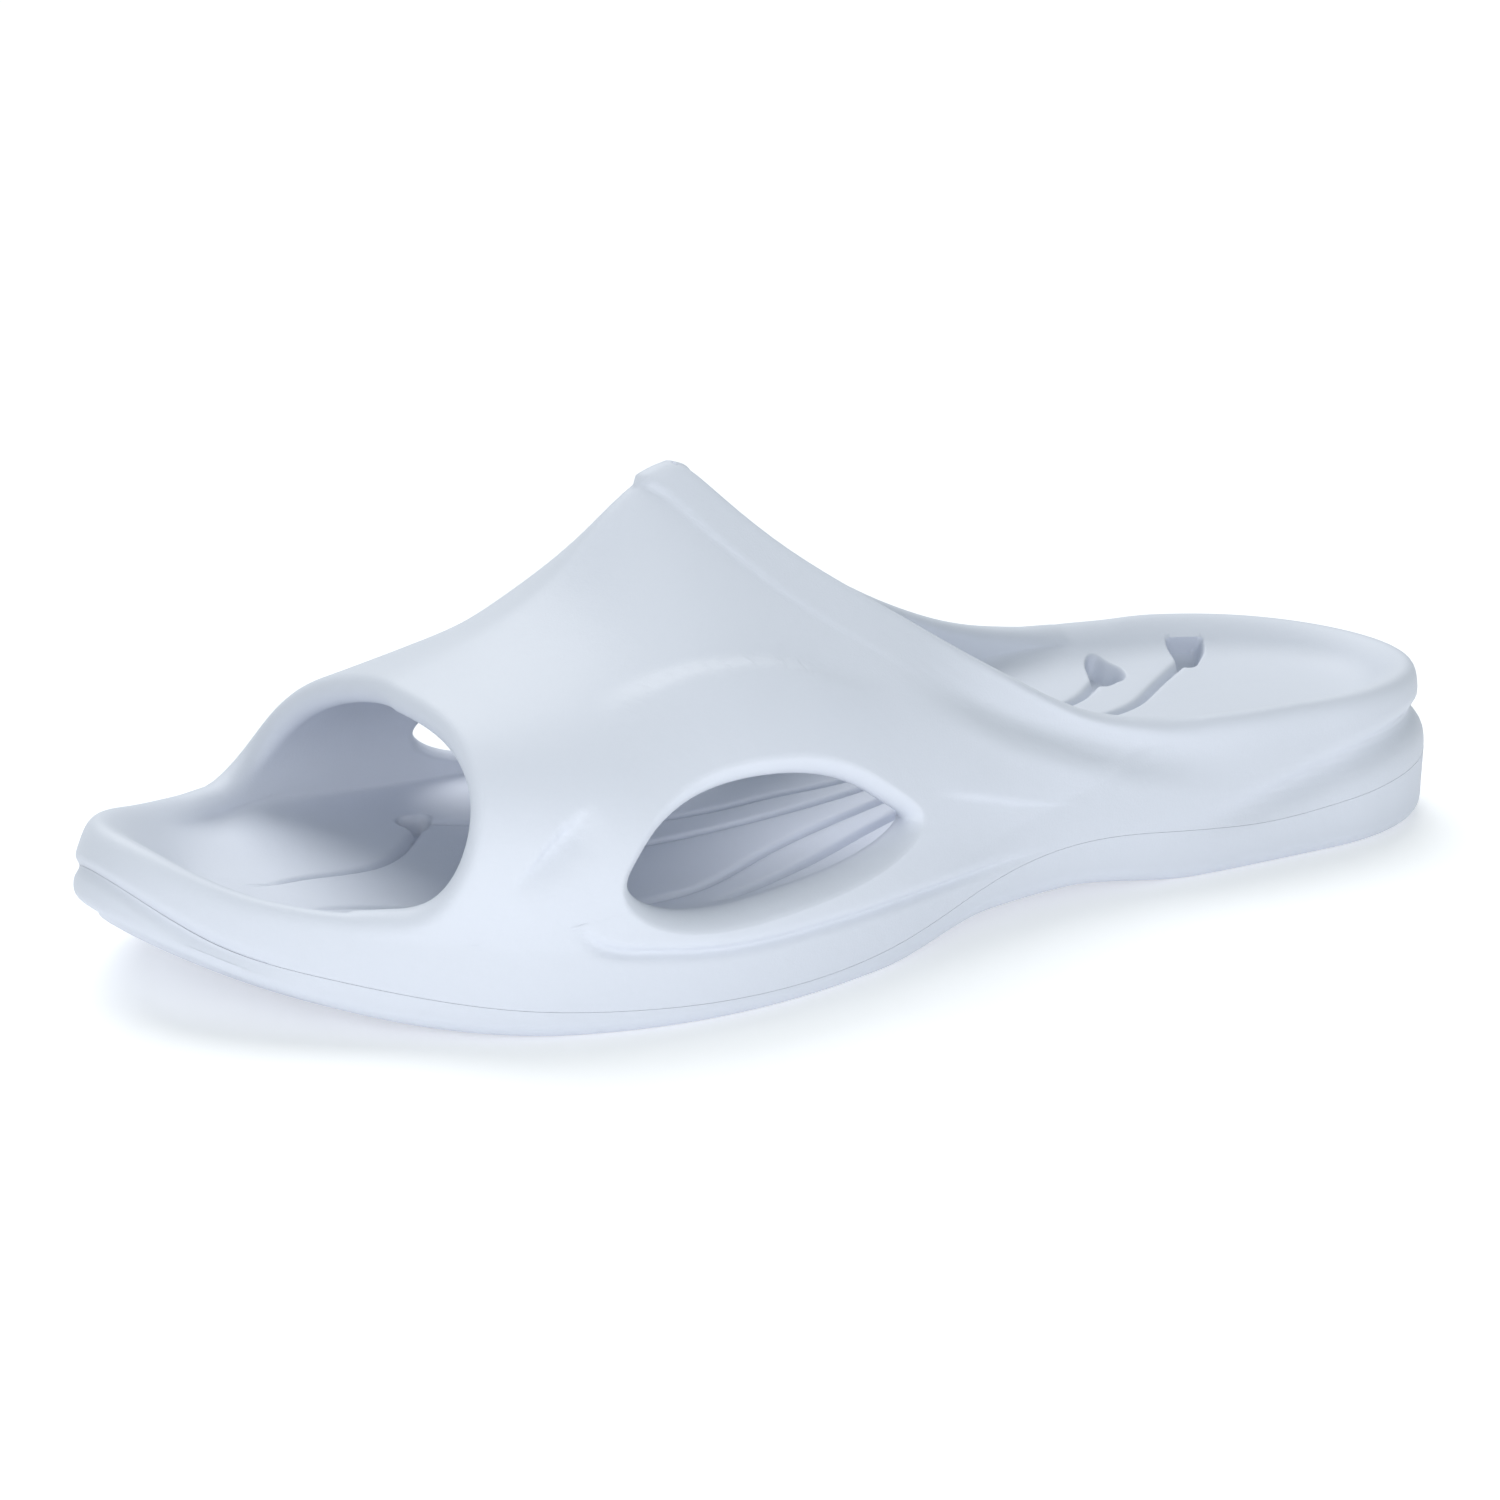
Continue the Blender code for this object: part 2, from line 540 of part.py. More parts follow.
def build_upper(material):
    """Strap, walls, footbed and midsole as one closed net."""
    net = Net()
    place = {side: column_places(side) for side in (LATERAL, MEDIAL)}
    s, sides = ring_columns(place)
    edge = by_side(edge_height, s, sides)
    low = OUTSOLE_HEIGHT * PARTING(s) + BOND_GAP

    # Outer wall from the parting line up to its top row
    wall = []
    for k in range(WALL_ROWS + 1):
        z = low + (edge - low) * k / WALL_ROWS
        inset = wall_inset(s, z)
        x, y = outline(s, sides, inset)
        wall.append(net.add(np.stack([x, y, z], -1)))
    net.skin(wall, closed=True)

    # Strap, both skins of both sides; row 0 of the outer skin is the wall's top row
    steps = np.linspace(0, 1, GIRTH_STEPS + 1)
    girths = (1 - GIRTH_BIAS) * steps + GIRTH_BIAS * steps ** 3
    along = np.linspace(0, 1, STRAP_STEPS + 1)
    first = {LATERAL: np.arange(STRAP_FROM, STRAP_TO + 1),
             MEDIAL: 2 * COUNT - np.arange(STRAP_FROM, STRAP_TO + 1)}
    outer, inner, where = {}, {}, {}
    for side in (LATERAL, MEDIAL):
        grid = np.array([strap_place(along, g, side) for g in girths])
        where[side] = np.stack([grid, np.repeat(girths[:, None], STRAP_STEPS + 1, 1)], -1)
        outer[side] = [wall[-1][first[side]]]
        inner[side] = []
        for g, x in zip(girths, grid):
            if g > 0 and (g < 1 or side == LATERAL):
                outer[side].append(net.add(strap_outer(x, g, side)))
            if g < 1 or side == LATERAL:
                inner[side].append(net.add(strap_inner(x, g, along, side)))
        if side == MEDIAL:
            outer[side].append(outer[LATERAL][-1])
            inner[side].append(inner[LATERAL][-1])
        outer[side] = np.array(outer[side])
        inner[side] = np.array(inner[side])

    # Footbed: columns run from the wall's inner row to the middle line
    bed_s, bed_y = middle_line(place)
    inner_inset = wall_inset(s, edge) + RIM_WALL
    x, y = outline(s, sides, inner_inset)
    points = np.stack([x, y, edge + INNER_RISE], -1)
    all_points = np.array(net.points)
    for side in (LATERAL, MEDIAL):
        feet = all_points[inner[side][0]]
        for end in (0, -1):
            column = first[side][end]
            near = (sides == side) & (np.abs(s - s[column]) < JOIN_SHARE)
            pull = ease(1 - np.abs(s - s[column]) / JOIN_SHARE) * near
            points = points + pull[:, None] * (feet[end] - points[column])
        points[first[side]] = feet
    top_row = net.add(points)
    for side in (LATERAL, MEDIAL):
        top_row[first[side]] = inner[side][0]
    centre = np.stack([bed_s * SOLE_LENGTH, bed_y, BED_HEIGHT * BED(bed_s)], -1)
    pair = np.concatenate([np.arange(COUNT + 1), np.arange(COUNT - 1, 0, -1)])
    target = centre[pair]
    reach = np.linalg.norm((points - target)[:, :2], axis=1)
    under_strap = ease((s - UNDER_STRAP[0]) / UNDER_STRAP_RAMPS[0])
    under_strap = under_strap * ease((UNDER_STRAP[1] - s) / UNDER_STRAP_RAMPS[1])
    slant = np.radians(BED_SLANT + (STRAP_SLANT - BED_SLANT) * under_strap)
    drop = np.maximum(points[:, 2] - target[:, 2], BED_LEAST_DROP)
    handle = np.minimum(drop / np.sin(slant), reach / 2)
    bed = [top_row]
    for k in range(1, BED_ROWS):
        t = 1 - (1 - k / BED_ROWS) ** BED_CROWDING
        w = [(1 - t) ** 3, 3 * (1 - t) ** 2 * t, 3 * (1 - t) * t ** 2, t ** 3]
        share = w[0] + w[1] * (1 - handle * np.cos(slant) / reach) + w[2] * BED_FLAT
        z = (w[0] * points[:, 2] + w[1] * (points[:, 2] - handle * np.sin(slant))
             + (w[2] + w[3]) * target[:, 2])
        row = target + (points - target) * share[:, None]
        row[:, 2] = z
        bed.append(net.add(row))
    bed.append(net.add(centre)[pair])
    net.skin(bed, closed=True)

    # Strap skins, with the window's block left for its own rings
    for side in (LATERAL, MEDIAL):
        flip = side == MEDIAL
        for rows, turn in ((outer[side], flip), (inner[side], not flip)):
            for k in range(len(rows) - 1):
                low_row, high_row = rows[k], rows[k + 1]
                if k < WINDOW_TOP:
                    net.skin([low_row[:WINDOW_FIRST + 1], high_row[:WINDOW_FIRST + 1]], flip=turn)
                    net.skin([low_row[WINDOW_LAST:], high_row[WINDOW_LAST:]], flip=turn)
                else:
                    net.skin([low_row, high_row], flip=turn)

    # Windows
    for side in (LATERAL, MEDIAL):
        flip = side == MEDIAL
        frame = frame_of(where[side])
        share = frame_of(np.repeat(along[None, :], len(girths), 0))
        loops = []
        for skin, lift in ((outer[side], 0.0), (inner[side], SILL_SLOPE)):
            hole = window_loop(frame, side, lift)
            rows = [frame_of(skin)]
            for k in range(1, WINDOW_RINGS + 1):
                t = k / WINDOW_RINGS
                spot = frame * (1 - t) + hole * t
                if skin is outer[side]:
                    rows.append(net.add(strap_outer(spot[:, 0], spot[:, 1], side)))
                else:
                    start = inner_start(share)
                    girth = np.clip((spot[:, 1] - start * t) / (1 - start * t), 0, 1)
                    rows.append(net.add(strap_inner(spot[:, 0], girth, share, side)))
            net.skin(rows, closed=True, flip=flip if skin is outer[side] else not flip)
            loops.append(rows[-1])
        net.round_edge(loops[0], loops[1], RIM_ROWS, WINDOW_REACH)

    # Rims: round the throat and heel, and round the toe opening and toe
    for column, arc in ((0, "throat"), (-1, "toe")):
        loops = []
        for edge_row, skins in ((wall[-1], outer), (top_row, inner)):
            up_side = skins[LATERAL][:, column]
            down_side = skins[MEDIAL][::-1, column]
            if arc == "throat":
                heel = np.concatenate([edge_row[2 * COUNT - STRAP_FROM:], edge_row[:STRAP_FROM + 1]])
                loops.append(np.concatenate([up_side[:-1], down_side[:-1], heel[:-1]]))
            else:
                toe = edge_row[STRAP_TO:2 * COUNT - STRAP_TO + 1]
                loops.append(np.concatenate([toe[:-1], down_side[::-1][:-1], up_side[::-1][:-1]]))
        net.round_edge(loops[0], loops[1], RIM_ROWS, RIM_REACH)

    # Bonding face underneath
    under_s, under_y = middle_line(place)
    under_mid = np.stack([under_s * SOLE_LENGTH, under_y,
                          OUTSOLE_HEIGHT * PARTING(under_s) + BOND_GAP], -1)
    under = [wall[0]]
    start = np.array(net.points)[wall[0]]
    for k in range(1, UNDER_ROWS):
        t = k / UNDER_ROWS
        row = start * (1 - t) + under_mid[pair] * t
        row[:, 2] = OUTSOLE_HEIGHT * PARTING(row[:, 0] / SOLE_LENGTH) + BOND_GAP
        under.append(net.add(row))
    under.append(net.add(under_mid)[pair])
    net.skin(under, closed=True, flip=True)
    return net.make("upper_footbed", material)


def build_outsole(material):
    """Outsole: parting face, side, rounded bottom edge and underside as one closed net."""
    net = Net()
    place = {side: column_places(side) for side in (LATERAL, MEDIAL)}
    s, sides = ring_columns(place)
    pair = np.concatenate([np.arange(COUNT + 1), np.arange(COUNT - 1, 0, -1)])
    mid_s, mid_y = middle_line(place)

    def face(edge, height):
        """Rows from an edge row to the middle line, on a height given along the length."""
        centre = np.stack([mid_s * SOLE_LENGTH, mid_y, height(mid_s)], -1)
        start, rows = np.array(net.points)[edge], []
        for k in range(1, UNDER_ROWS + 1):
            t = k / UNDER_ROWS
            if k == UNDER_ROWS:
                rows.append(net.add(centre)[pair])
            else:
                row = start * (1 - t) + centre[pair] * t
                row[:, 2] = height(row[:, 0] / SOLE_LENGTH)
                rows.append(net.add(row))
        return rows

    top = OUTSOLE_HEIGHT * PARTING(s)
    floor = underside(s)
    round_up = np.minimum(EDGE_ROUND, CORNER_SHARE * (top - floor))
    side_rows = []
    for angle in np.linspace(0, np.pi / 2, CORNER_ROWS + 1):
        inset = EDGE_ROUND * (1 - np.sin(angle))
        x, y = outline(s, sides, inset)
        side_rows.append(net.add(np.stack([x, y, floor + round_up * (1 - np.cos(angle))], -1)))
    for k in range(1, SIDE_ROWS + 1):
        z = floor + round_up + (top - floor - round_up) * k / SIDE_ROWS
        x, y = outline(s, sides, wall_inset(s, z) - PARTING_STEP)
        side_rows.append(net.add(np.stack([x, y, z], -1)))
    net.skin(side_rows, closed=True)
    net.skin([side_rows[0]] + face(side_rows[0], underside), closed=True, flip=True)
    net.skin([side_rows[-1]] + face(side_rows[-1], lambda t: OUTSOLE_HEIGHT * PARTING(t)), closed=True)
    return net.make("outsole", material)


def stand_on_origin(parts):
    """Move the mouldings together so that the middle of their box stands on the origin."""
    corners = np.array([v.co for part in parts for v in part.data.vertices])
    low, high = corners.min(0), corners.max(0)
    shift = np.array([(low[0] + high[0]) / 2, (low[1] + high[1]) / 2, low[2]])
    for part in parts:
        for v in part.data.vertices:
            v.co = np.array(v.co) - shift


def main():
    for thing in list(bpy.data.objects):
        bpy.data.objects.remove(thing, do_unlink=True)
    upper = build_upper(foam("ice_foam", (0.72, 0.78, 0.86), 0.55))
    outsole = build_outsole(foam("ice_foam_sole", (0.72, 0.78, 0.86), 0.60))
    stand_on_origin([upper, outsole])
    for part in (upper, outsole):
        part.data.calc_loop_triangles()
        print(part.name, len(part.data.loop_triangles), "triangles")


main()
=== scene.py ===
"""Looks of a left slide sandal, moulded in pale soft foam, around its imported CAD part.

Two pieces ride on the one body: the strap, walls and footbed moulded whole, and the outsole bonded
under them.  Both are drawn again on finer nets than the solids have, from the same sizes and tables,
and then get the creases, ledges, grooves and dimples of the real mouldings.

Form frame: x from the heel end to the toe end, y to the wearer's left (the outer side), z up from
the floor, metres.  Pieces are moved into the part's frame when their meshes are made.
"""

import logging
from collections.abc import Callable, Sequence
from dataclasses import dataclass
from enum import Enum

import bmesh
import bpy
import numpy as np
from mathutils import Matrix, Vector


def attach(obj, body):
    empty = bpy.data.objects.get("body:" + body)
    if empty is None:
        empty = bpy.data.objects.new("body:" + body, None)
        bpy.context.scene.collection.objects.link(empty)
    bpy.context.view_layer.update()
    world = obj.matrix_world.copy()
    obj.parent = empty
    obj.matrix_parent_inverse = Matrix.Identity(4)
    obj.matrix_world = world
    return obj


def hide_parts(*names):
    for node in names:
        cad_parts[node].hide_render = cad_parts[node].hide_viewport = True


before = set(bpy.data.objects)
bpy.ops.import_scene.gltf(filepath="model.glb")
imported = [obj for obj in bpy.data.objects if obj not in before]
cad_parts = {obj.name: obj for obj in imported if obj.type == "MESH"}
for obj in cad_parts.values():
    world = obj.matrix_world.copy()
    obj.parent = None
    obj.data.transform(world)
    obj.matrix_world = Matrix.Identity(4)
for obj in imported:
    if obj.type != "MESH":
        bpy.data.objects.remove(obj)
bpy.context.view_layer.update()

LOG = logging.getLogger("slide_sandal")
Rows = tuple[tuple[float, ...], ...]
Numbers = np.ndarray


class Side(Enum):
    """The two long sides of the slide, with the sign of y that each lies on."""

    LATERAL = 1
    MEDIAL = -1


class Kind(Enum):
    """How a line drawn on the mould shows on the foam."""

    TROUGH = "trough"
    LEDGE = "ledge"


Skins = dict[Side, Numbers]

# Plan of the sole, as shares of the length and of half the ball's width
PLAN: Rows = (
    # place, half_width, shift
    (0.00, 0.653, 0.030),
    (0.12, 0.656, 0.015),
    (0.25, 0.676, 0.008),
    (0.35, 0.655, 0.022),
    (0.45, 0.704, 0.045),
    (0.55, 0.856, 0.060),
    (0.65, 0.980, 0.052),
    (0.74, 1.000, 0.028),
    (0.85, 0.887, -0.036),
    (0.93, 0.792, -0.100),
    (1.00, 0.710, -0.145),
)

# Heights along the sole, as shares of the outsole's, the rim's and the footbed's heights
LEVELS: Rows = (
    # place, parting, edge_lateral, edge_medial, bed
    (0.00, 1.00, 0.895, 0.895, 1.00),
    (0.06, 0.90, 0.890, 0.910, 1.00),
    (0.15, 0.72, 0.890, 0.940, 1.01),
    (0.22, 0.66, 0.925, 0.975, 1.03),
    (0.30, 0.79, 0.895, 0.885, 1.04),
    (0.36, 0.87, 0.750, 0.750, 1.02),
    (0.43, 0.76, 0.610, 0.610, 0.93),
    (0.52, 0.42, 0.490, 0.490, 0.78),
    (0.62, 0.26, 0.465, 0.465, 0.66),
    (0.75, 0.32, 0.490, 0.490, 0.62),
    (0.84, 0.48, 0.565, 0.590, 0.66),
    (0.93, 0.86, 0.645, 0.705, 0.75),
    (0.97, 1.15, 0.730, 0.795, 0.81),
    (1.00, 1.64, 0.880, 0.880, 0.86),
)

# Ridge of the strap, as shares of its height and of half the ball's width
RIDGE: Rows = (
    # place, height, shift
    (0.20, 0.930, 0.02),
    (0.34, 0.965, 0.02),
    (0.48, 0.998, 0.02),
    (0.58, 1.012, 0.02),
    (0.625, 1.004, 0.02),
    (0.66, 0.936, 0.03),
    (0.70, 0.808, 0.05),
    (0.75, 0.711, 0.08),
    (0.80, 0.652, 0.11),
    (0.86, 0.607, 0.13),
    (0.92, 0.590, 0.13),
)

# Flank of the strap from its foot to the ridge, as shares of the flank's width and height
FLANKS: dict[Side, Rows] = {
    Side.LATERAL: (
        # place, rise, shoulder_out, shoulder_up, flank_out, flank_up, crown_out
        (0.22, 0.30, 0.90, 0.55, 0.50, 0.70, 0.10),
        (0.43, 0.30, 0.91, 0.56, 0.50, 0.70, 0.10),
        (0.54, 0.30, 0.92, 0.60, 0.46, 0.67, 0.08),
        (0.62, 0.30, 0.93, 0.63, 0.42, 0.62, 0.07),
        (0.68, 0.31, 0.95, 0.72, 0.45, 0.72, 0.11),
        (0.74, 0.33, 0.98, 0.82, 0.54, 0.88, 0.20),
        (0.84, 0.35, 1.00, 0.92, 0.64, 1.00, 0.28),
        (0.92, 0.35, 1.00, 0.92, 0.66, 1.00, 0.28),
    ),
    Side.MEDIAL: (
        (0.22, 0.30, 0.88, 0.60, 0.48, 0.72, 0.10),
        (0.43, 0.30, 0.90, 0.60, 0.48, 0.72, 0.10),
        (0.54, 0.30, 0.92, 0.62, 0.46, 0.68, 0.08),
        (0.62, 0.30, 0.93, 0.63, 0.40, 0.60, 0.06),
        (0.68, 0.31, 0.95, 0.66, 0.42, 0.65, 0.09),
        (0.74, 0.33, 0.96, 0.66, 0.50, 0.74, 0.15),
        (0.84, 0.34, 0.97, 0.65, 0.56, 0.80, 0.22),
        (0.92, 0.34, 0.97, 0.65, 0.56, 0.80, 0.22),
    ),
}

# Edges of the strap's two openings from its foot (girth 0) to the ridge (girth 1), as places
OPENINGS: Rows = (
    # girth, throat_lateral, throat_medial, toe_lateral, toe_medial
    (0.00, 0.268, 0.212, 0.905, 0.880),
    (0.15, 0.297, 0.250, 0.876, 0.850),
    (0.30, 0.337, 0.298, 0.857, 0.829),
    (0.45, 0.386, 0.354, 0.843, 0.812),
    (0.60, 0.449, 0.425, 0.832, 0.803),
    (0.75, 0.533, 0.519, 0.824, 0.803),
    (0.90, 0.598, 0.594, 0.819, 0.811),
    (1.00, 0.624, 0.624, 0.818, 0.818),
)

# Outline of a window round its own middle, as shares of half its length and half its height
WINDOW: Rows = (
    # along, up
    (0.94, -0.62),
    (0.90, 0.10),
    (0.68, 0.68),
    (0.36, 0.98),
    (0.00, 0.97),
    (-0.43, 0.60),
    (-0.77, 0.02),
    (-0.88, -0.30),
    (-0.74, -0.58),
    (-0.33, -0.85),
    (0.15, -0.98),
    (0.70, -0.96),
)


def ease(t: Numbers) -> Numbers:
    """Smooth step from 0 to 1."""
    t = np.clip(t, 0, 1)
    return t * t * (3 - 2 * t)


def unit(vectors: Numbers) -> Numbers:
    """Vectors scaled to length 1."""
    return vectors / np.maximum(np.linalg.norm(vectors, axis=-1, keepdims=True), 1e-12)


def cubic(t: float) -> tuple[float, float, float, float]:
    """Weights of the four poles of a cubic curve."""
    return (1 - t) ** 3, 3 * (1 - t) ** 2 * t, 3 * (1 - t) * t ** 2, t ** 3


class Curve:
    """Natural cubic curve through one column of a table, against its first column."""

    def __init__(self, rows: Sequence[Sequence[float]], column: int) -> None:
        """Solve for the bend at every knot.

        Args:
            rows: the table, its first column rising.
            column: the column to follow.
        """
        self.xs = np.array([row[0] for row in rows], float)
        self.ys = np.array([row[column] for row in rows], float)
        self.gaps = np.diff(self.xs)
        slope = np.diff(self.ys) / self.gaps
        count = len(self.xs)
        matrix, right = np.eye(count), np.zeros(count)
        for i in range(1, count - 1):
            matrix[i, i - 1:i + 2] = self.gaps[i - 1], 2 * (self.gaps[i - 1] + self.gaps[i]), self.gaps[i]
            right[i] = 6 * (slope[i] - slope[i - 1])
        self.bends = np.linalg.solve(matrix, right)

    def __call__(self, x: Numbers | float) -> Numbers:
        """Height of the curve.

        Args:
            x: places, held within the table's ends.

        Returns:
            The heights there.
        """
        x = np.clip(np.asarray(x, float), self.xs[0], self.xs[-1])
        i = np.clip(np.searchsorted(self.xs, x) - 1, 0, len(self.xs) - 2)
        a, b, w = self.xs[i + 1] - x, x - self.xs[i], self.gaps[i]
        bend = (self.bends[i] * a ** 3 + self.bends[i + 1] * b ** 3) / (6 * w)
        before = (self.ys[i] / w - self.bends[i] * w / 6) * a
        after = (self.ys[i + 1] / w - self.bends[i + 1] * w / 6) * b
        return bend + (before + after)


@dataclass(frozen=True)
class SlideForm:
    """The slide's last, sole and strap as surfaces, with the sizes they are drawn from."""

    length: float = 0.285
    ball_width: float = 0.1055
    heel_round: float = 0.040
    toe_round: float = 0.058
    rim_height: float = 0.029
    ridge_height: float = 0.0815
    bed_height: float = 0.0235
    strap_wall: float = 0.0055
    rim_wall: float = 0.0075
    side_lean: float = 0.0022
    outsole_height: float = 0.0135
    arch_lift: float = 0.0030
    toe_spring: float = 0.0146
    heel_lift: float = 0.0022
    edge_round: float = 0.0032
    bond_gap: float = 0.00005
    window_length: float = 0.068
    window_height: float = 0.0205
    window_flare: float = 0.0028
    sill_slope: float = 0.0024
    channel_depth: float = 0.0021
    channel_width: float = 0.0019
    shelf_width: float = 0.0027
    parting_step: float = 0.00003
    toe_groove_depth: float = 0.0010
    toe_groove_width: float = 0.0014
    inner_rise: float = 0.0008
    bed_slant: float = 38.0
    strap_slant: float = 84.0
    join_share: float = 0.10
    middle_share: float = 0.80
    arch_back: tuple[float, float] = (0.26, 0.12)
    arch_front: tuple[float, float] = (0.56, 0.11)
    toe_curl: tuple[float, float] = (0.76, 2.6)
    heel_curl_to: float = 0.05
    channel_span: tuple[float, float] = (0.04, 0.30)
    channel_low: float = 0.36
    channel_climb: float = 0.36
    toe_groove_from: tuple[float, float] = (0.92, 0.06)
    foot_lean: float = 0.04
    foot_spread: float = 0.10
    throat_bead: float = 0.2
    throat_spread: float = 0.08
    inner_foot: tuple[float, float] = (0.009, 0.033)
    inner_foot_ramps: tuple[float, float] = (0.18, 0.14)
    window_places: tuple[tuple[float, float], ...] = ((0.637, 0.0025), (0.577, 0.0030))

    def __post_init__(self) -> None:
        """Draw the curves of every table."""
        curves = {
            "half_width": Curve(PLAN, 1), "shift": Curve(PLAN, 2),
            "parting": Curve(LEVELS, 1), "bed": Curve(LEVELS, 4),
            "ridge_up": Curve(RIDGE, 1), "ridge_side": Curve(RIDGE, 2),
        }
        for number, side in enumerate(Side):
            curves["edge", side] = Curve(LEVELS, 2 + number)
            curves["throat", side] = Curve(OPENINGS, 1 + number)
            curves["toe", side] = Curve(OPENINGS, 3 + number)
            curves["flank", side] = [Curve(FLANKS[side], column) for column in range(1, 7)]
        object.__setattr__(self, "curves", curves)

    @property
    def half_ball(self) -> float:
        """Half of the ball's width."""
        return self.ball_width / 2

    def end_round(self, s: Numbers) -> Numbers:
        """1 along the sole, falling to 0 in a round at each end."""
        heel = np.clip(1 - s * self.length / self.heel_round, 0, 1)
        toe = np.clip(1 - (1 - s) * self.length / self.toe_round, 0, 1)
        return np.sqrt(np.maximum(1 - heel ** 2, 0)) * np.sqrt(np.maximum(1 - toe ** 2, 0))

    def outline(self, s: Numbers, sign: Numbers, inset: Numbers) -> tuple[Numbers, Numbers]:
        """Outline of the sole seen from above.

        Args:
            s: share of the length.
            sign: +1 on the lateral side and -1 on the medial side.
            inset: how far the outline is moved in.

        Returns:
            x and y of the points.
        """
        x = inset + s * (self.length - 2 * inset)
        reach = (self.half_ball * self.curves["half_width"](s) - inset) * self.end_round(s)
        return x, self.half_ball * self.curves["shift"](s) + sign * reach

    def underside(self, s: Numbers) -> Numbers:
        """Height of the outsole's underside: two flat pads with the arch between them."""
        (back, back_ramp), (front, front_ramp) = self.arch_back, self.arch_front
        arch = self.arch_lift * ease((s - back) / back_ramp) * ease((front - s) / front_ramp)
        curl_from, curl_power = self.toe_curl
        toe = self.toe_spring * np.clip((s - curl_from) / (1 - curl_from), 0, 1) ** curl_power
        heel = self.heel_lift * np.clip(1 - s / self.heel_curl_to, 0, 1) ** 2
        return arch + toe + heel

    def parting_up(self, s: Numbers) -> Numbers:
        """Height of the parting line between the two mouldings."""
        return self.outsole_height * self.curves["parting"](s)

    def wall_inset(self, s: Numbers, z: Numbers) -> Numbers:
        """How far the side stands in from the sole's outline.

        Args:
            s: share of the length.
            z: height.

        Returns:
            The inset, with the channel round the heel and the groove round the toe.
        """
        low = self.parting_up(s)
        lean = self.side_lean * ease((z - low) / (self.rim_height - low)) + self.parting_step
        highest, gone = self.channel_span
        heel = np.clip((gone - s) / (gone - highest), 0, 1)
        channel_up = self.rim_height * (self.channel_low + self.channel_climb * ease(heel))
        width = np.where(z < channel_up, self.shelf_width, self.channel_width)
        channel = self.channel_depth * ease(2 * heel) * np.exp(-((z - channel_up) / width) ** 2)
        begin, ramp = self.toe_groove_from
        groove = ease((s - begin) / ramp) * np.exp(-((z - low) / self.toe_groove_width) ** 2)
        return lean + channel + self.toe_groove_depth * groove

    def edge_height(self, s: Numbers, side: Side) -> Numbers:
        """Height of the outer wall's top row, before the rim rounds over or the strap begins."""
        return self.rim_height * self.curves["edge", side](s)

    def edge_all_round(self, s: Numbers, signs: Numbers) -> Numbers:
        """Height of the same row all round, from the shares of the length and the signs of the sides."""
        return np.where(signs > 0, self.edge_height(s, Side.LATERAL), self.edge_height(s, Side.MEDIAL))

    def strap_outer(self, x: Numbers, girth: Numbers, side: Side) -> Numbers:
        """Points of the strap's outer skin.

        Args:
            x: place along the slide.
            girth: 0 at the side wall to 1 at the ridge.
            side: which flank.

        Returns:
            The points, with x, y and z along the last axis.
        """
        x, t = np.broadcast_arrays(np.asarray(x, float), np.asarray(girth, float))
        s = x / self.length
        foot_z = self.edge_height(s, side)
        inset = self.wall_inset(s, foot_z)
        foot_y = self.outline((x - inset) / (self.length - 2 * inset), side.value, inset)[1]
        top_y = self.half_ball * self.curves["ridge_side"](s)
        top_z = self.ridge_height * self.curves["ridge_up"](s)
        width, height = foot_y - top_y, top_z - foot_z
        shares = [curve(s) for curve in self.curves["flank", side]]
        rise, shoulder_out, shoulder_up, flank_out, flank_up, crown = shares
        poles_y = (foot_y, foot_y - side.value * self.foot_lean * rise * height, top_y + shoulder_out * width,
                   top_y + flank_out * width, top_y + crown * width, top_y)
        poles_z = (foot_z, foot_z + rise * height, foot_z + shoulder_up * height,
                   foot_z + flank_up * height, top_z, top_z)
        weights = [c * t ** k * (1 - t) ** (5 - k) for k, c in enumerate((1, 5, 10, 10, 5, 1))]
        y = sum(w * p for w, p in zip(weights, poles_y))
        z = sum(w * p for w, p in zip(weights, poles_z))
        return np.stack([x, y, z], -1)

    def strap_normal(self, x: Numbers, girth: Numbers, side: Side) -> Numbers:
        """Outward direction of the strap's outer skin."""
        step_x, step_girth = 0.0005, 0.004
        low, high = np.clip(girth - step_girth, 0, 1), np.clip(girth + step_girth, 0, 1)
        along = self.strap_outer(x + step_x, girth, side) - self.strap_outer(x - step_x, girth, side)
        up = self.strap_outer(x, high, side) - self.strap_outer(x, low, side)
        return unit(np.cross(up, along)) * side.value

    def inner_start(self, along: Numbers) -> Numbers:
        """Girth of the outer skin level with the foot of the inner skin."""
        (foot, rise), (back, front) = self.inner_foot, self.inner_foot_ramps
        return foot + rise * ease(along / back) * ease((1 - along) / front)

    def strap_inner(self, x: Numbers, girth: Numbers, along: Numbers, side: Side) -> Numbers:
        """Points of the strap's inner skin.

        Args:
            x: place along the slide.
            girth: 0 at the footbed to 1 at the ridge.
            along: share of the strap from the throat to the toe opening.
            side: which flank.

        Returns:
            The points.
        """
        start = self.inner_start(along)
        level = start + (1 - start) * girth
        foot = (self.rim_wall - self.strap_wall) * np.exp(-(level / self.foot_spread) ** 2)
        above_foot = ease(level / (2 * self.foot_spread))
        bead = self.throat_bead * np.exp(-(along / self.throat_spread) ** 2) * above_foot
        wall = self.strap_wall * (1 + bead) + foot
        return self.strap_outer(x, level, side) - self.strap_normal(x, level, side) * wall[..., None]

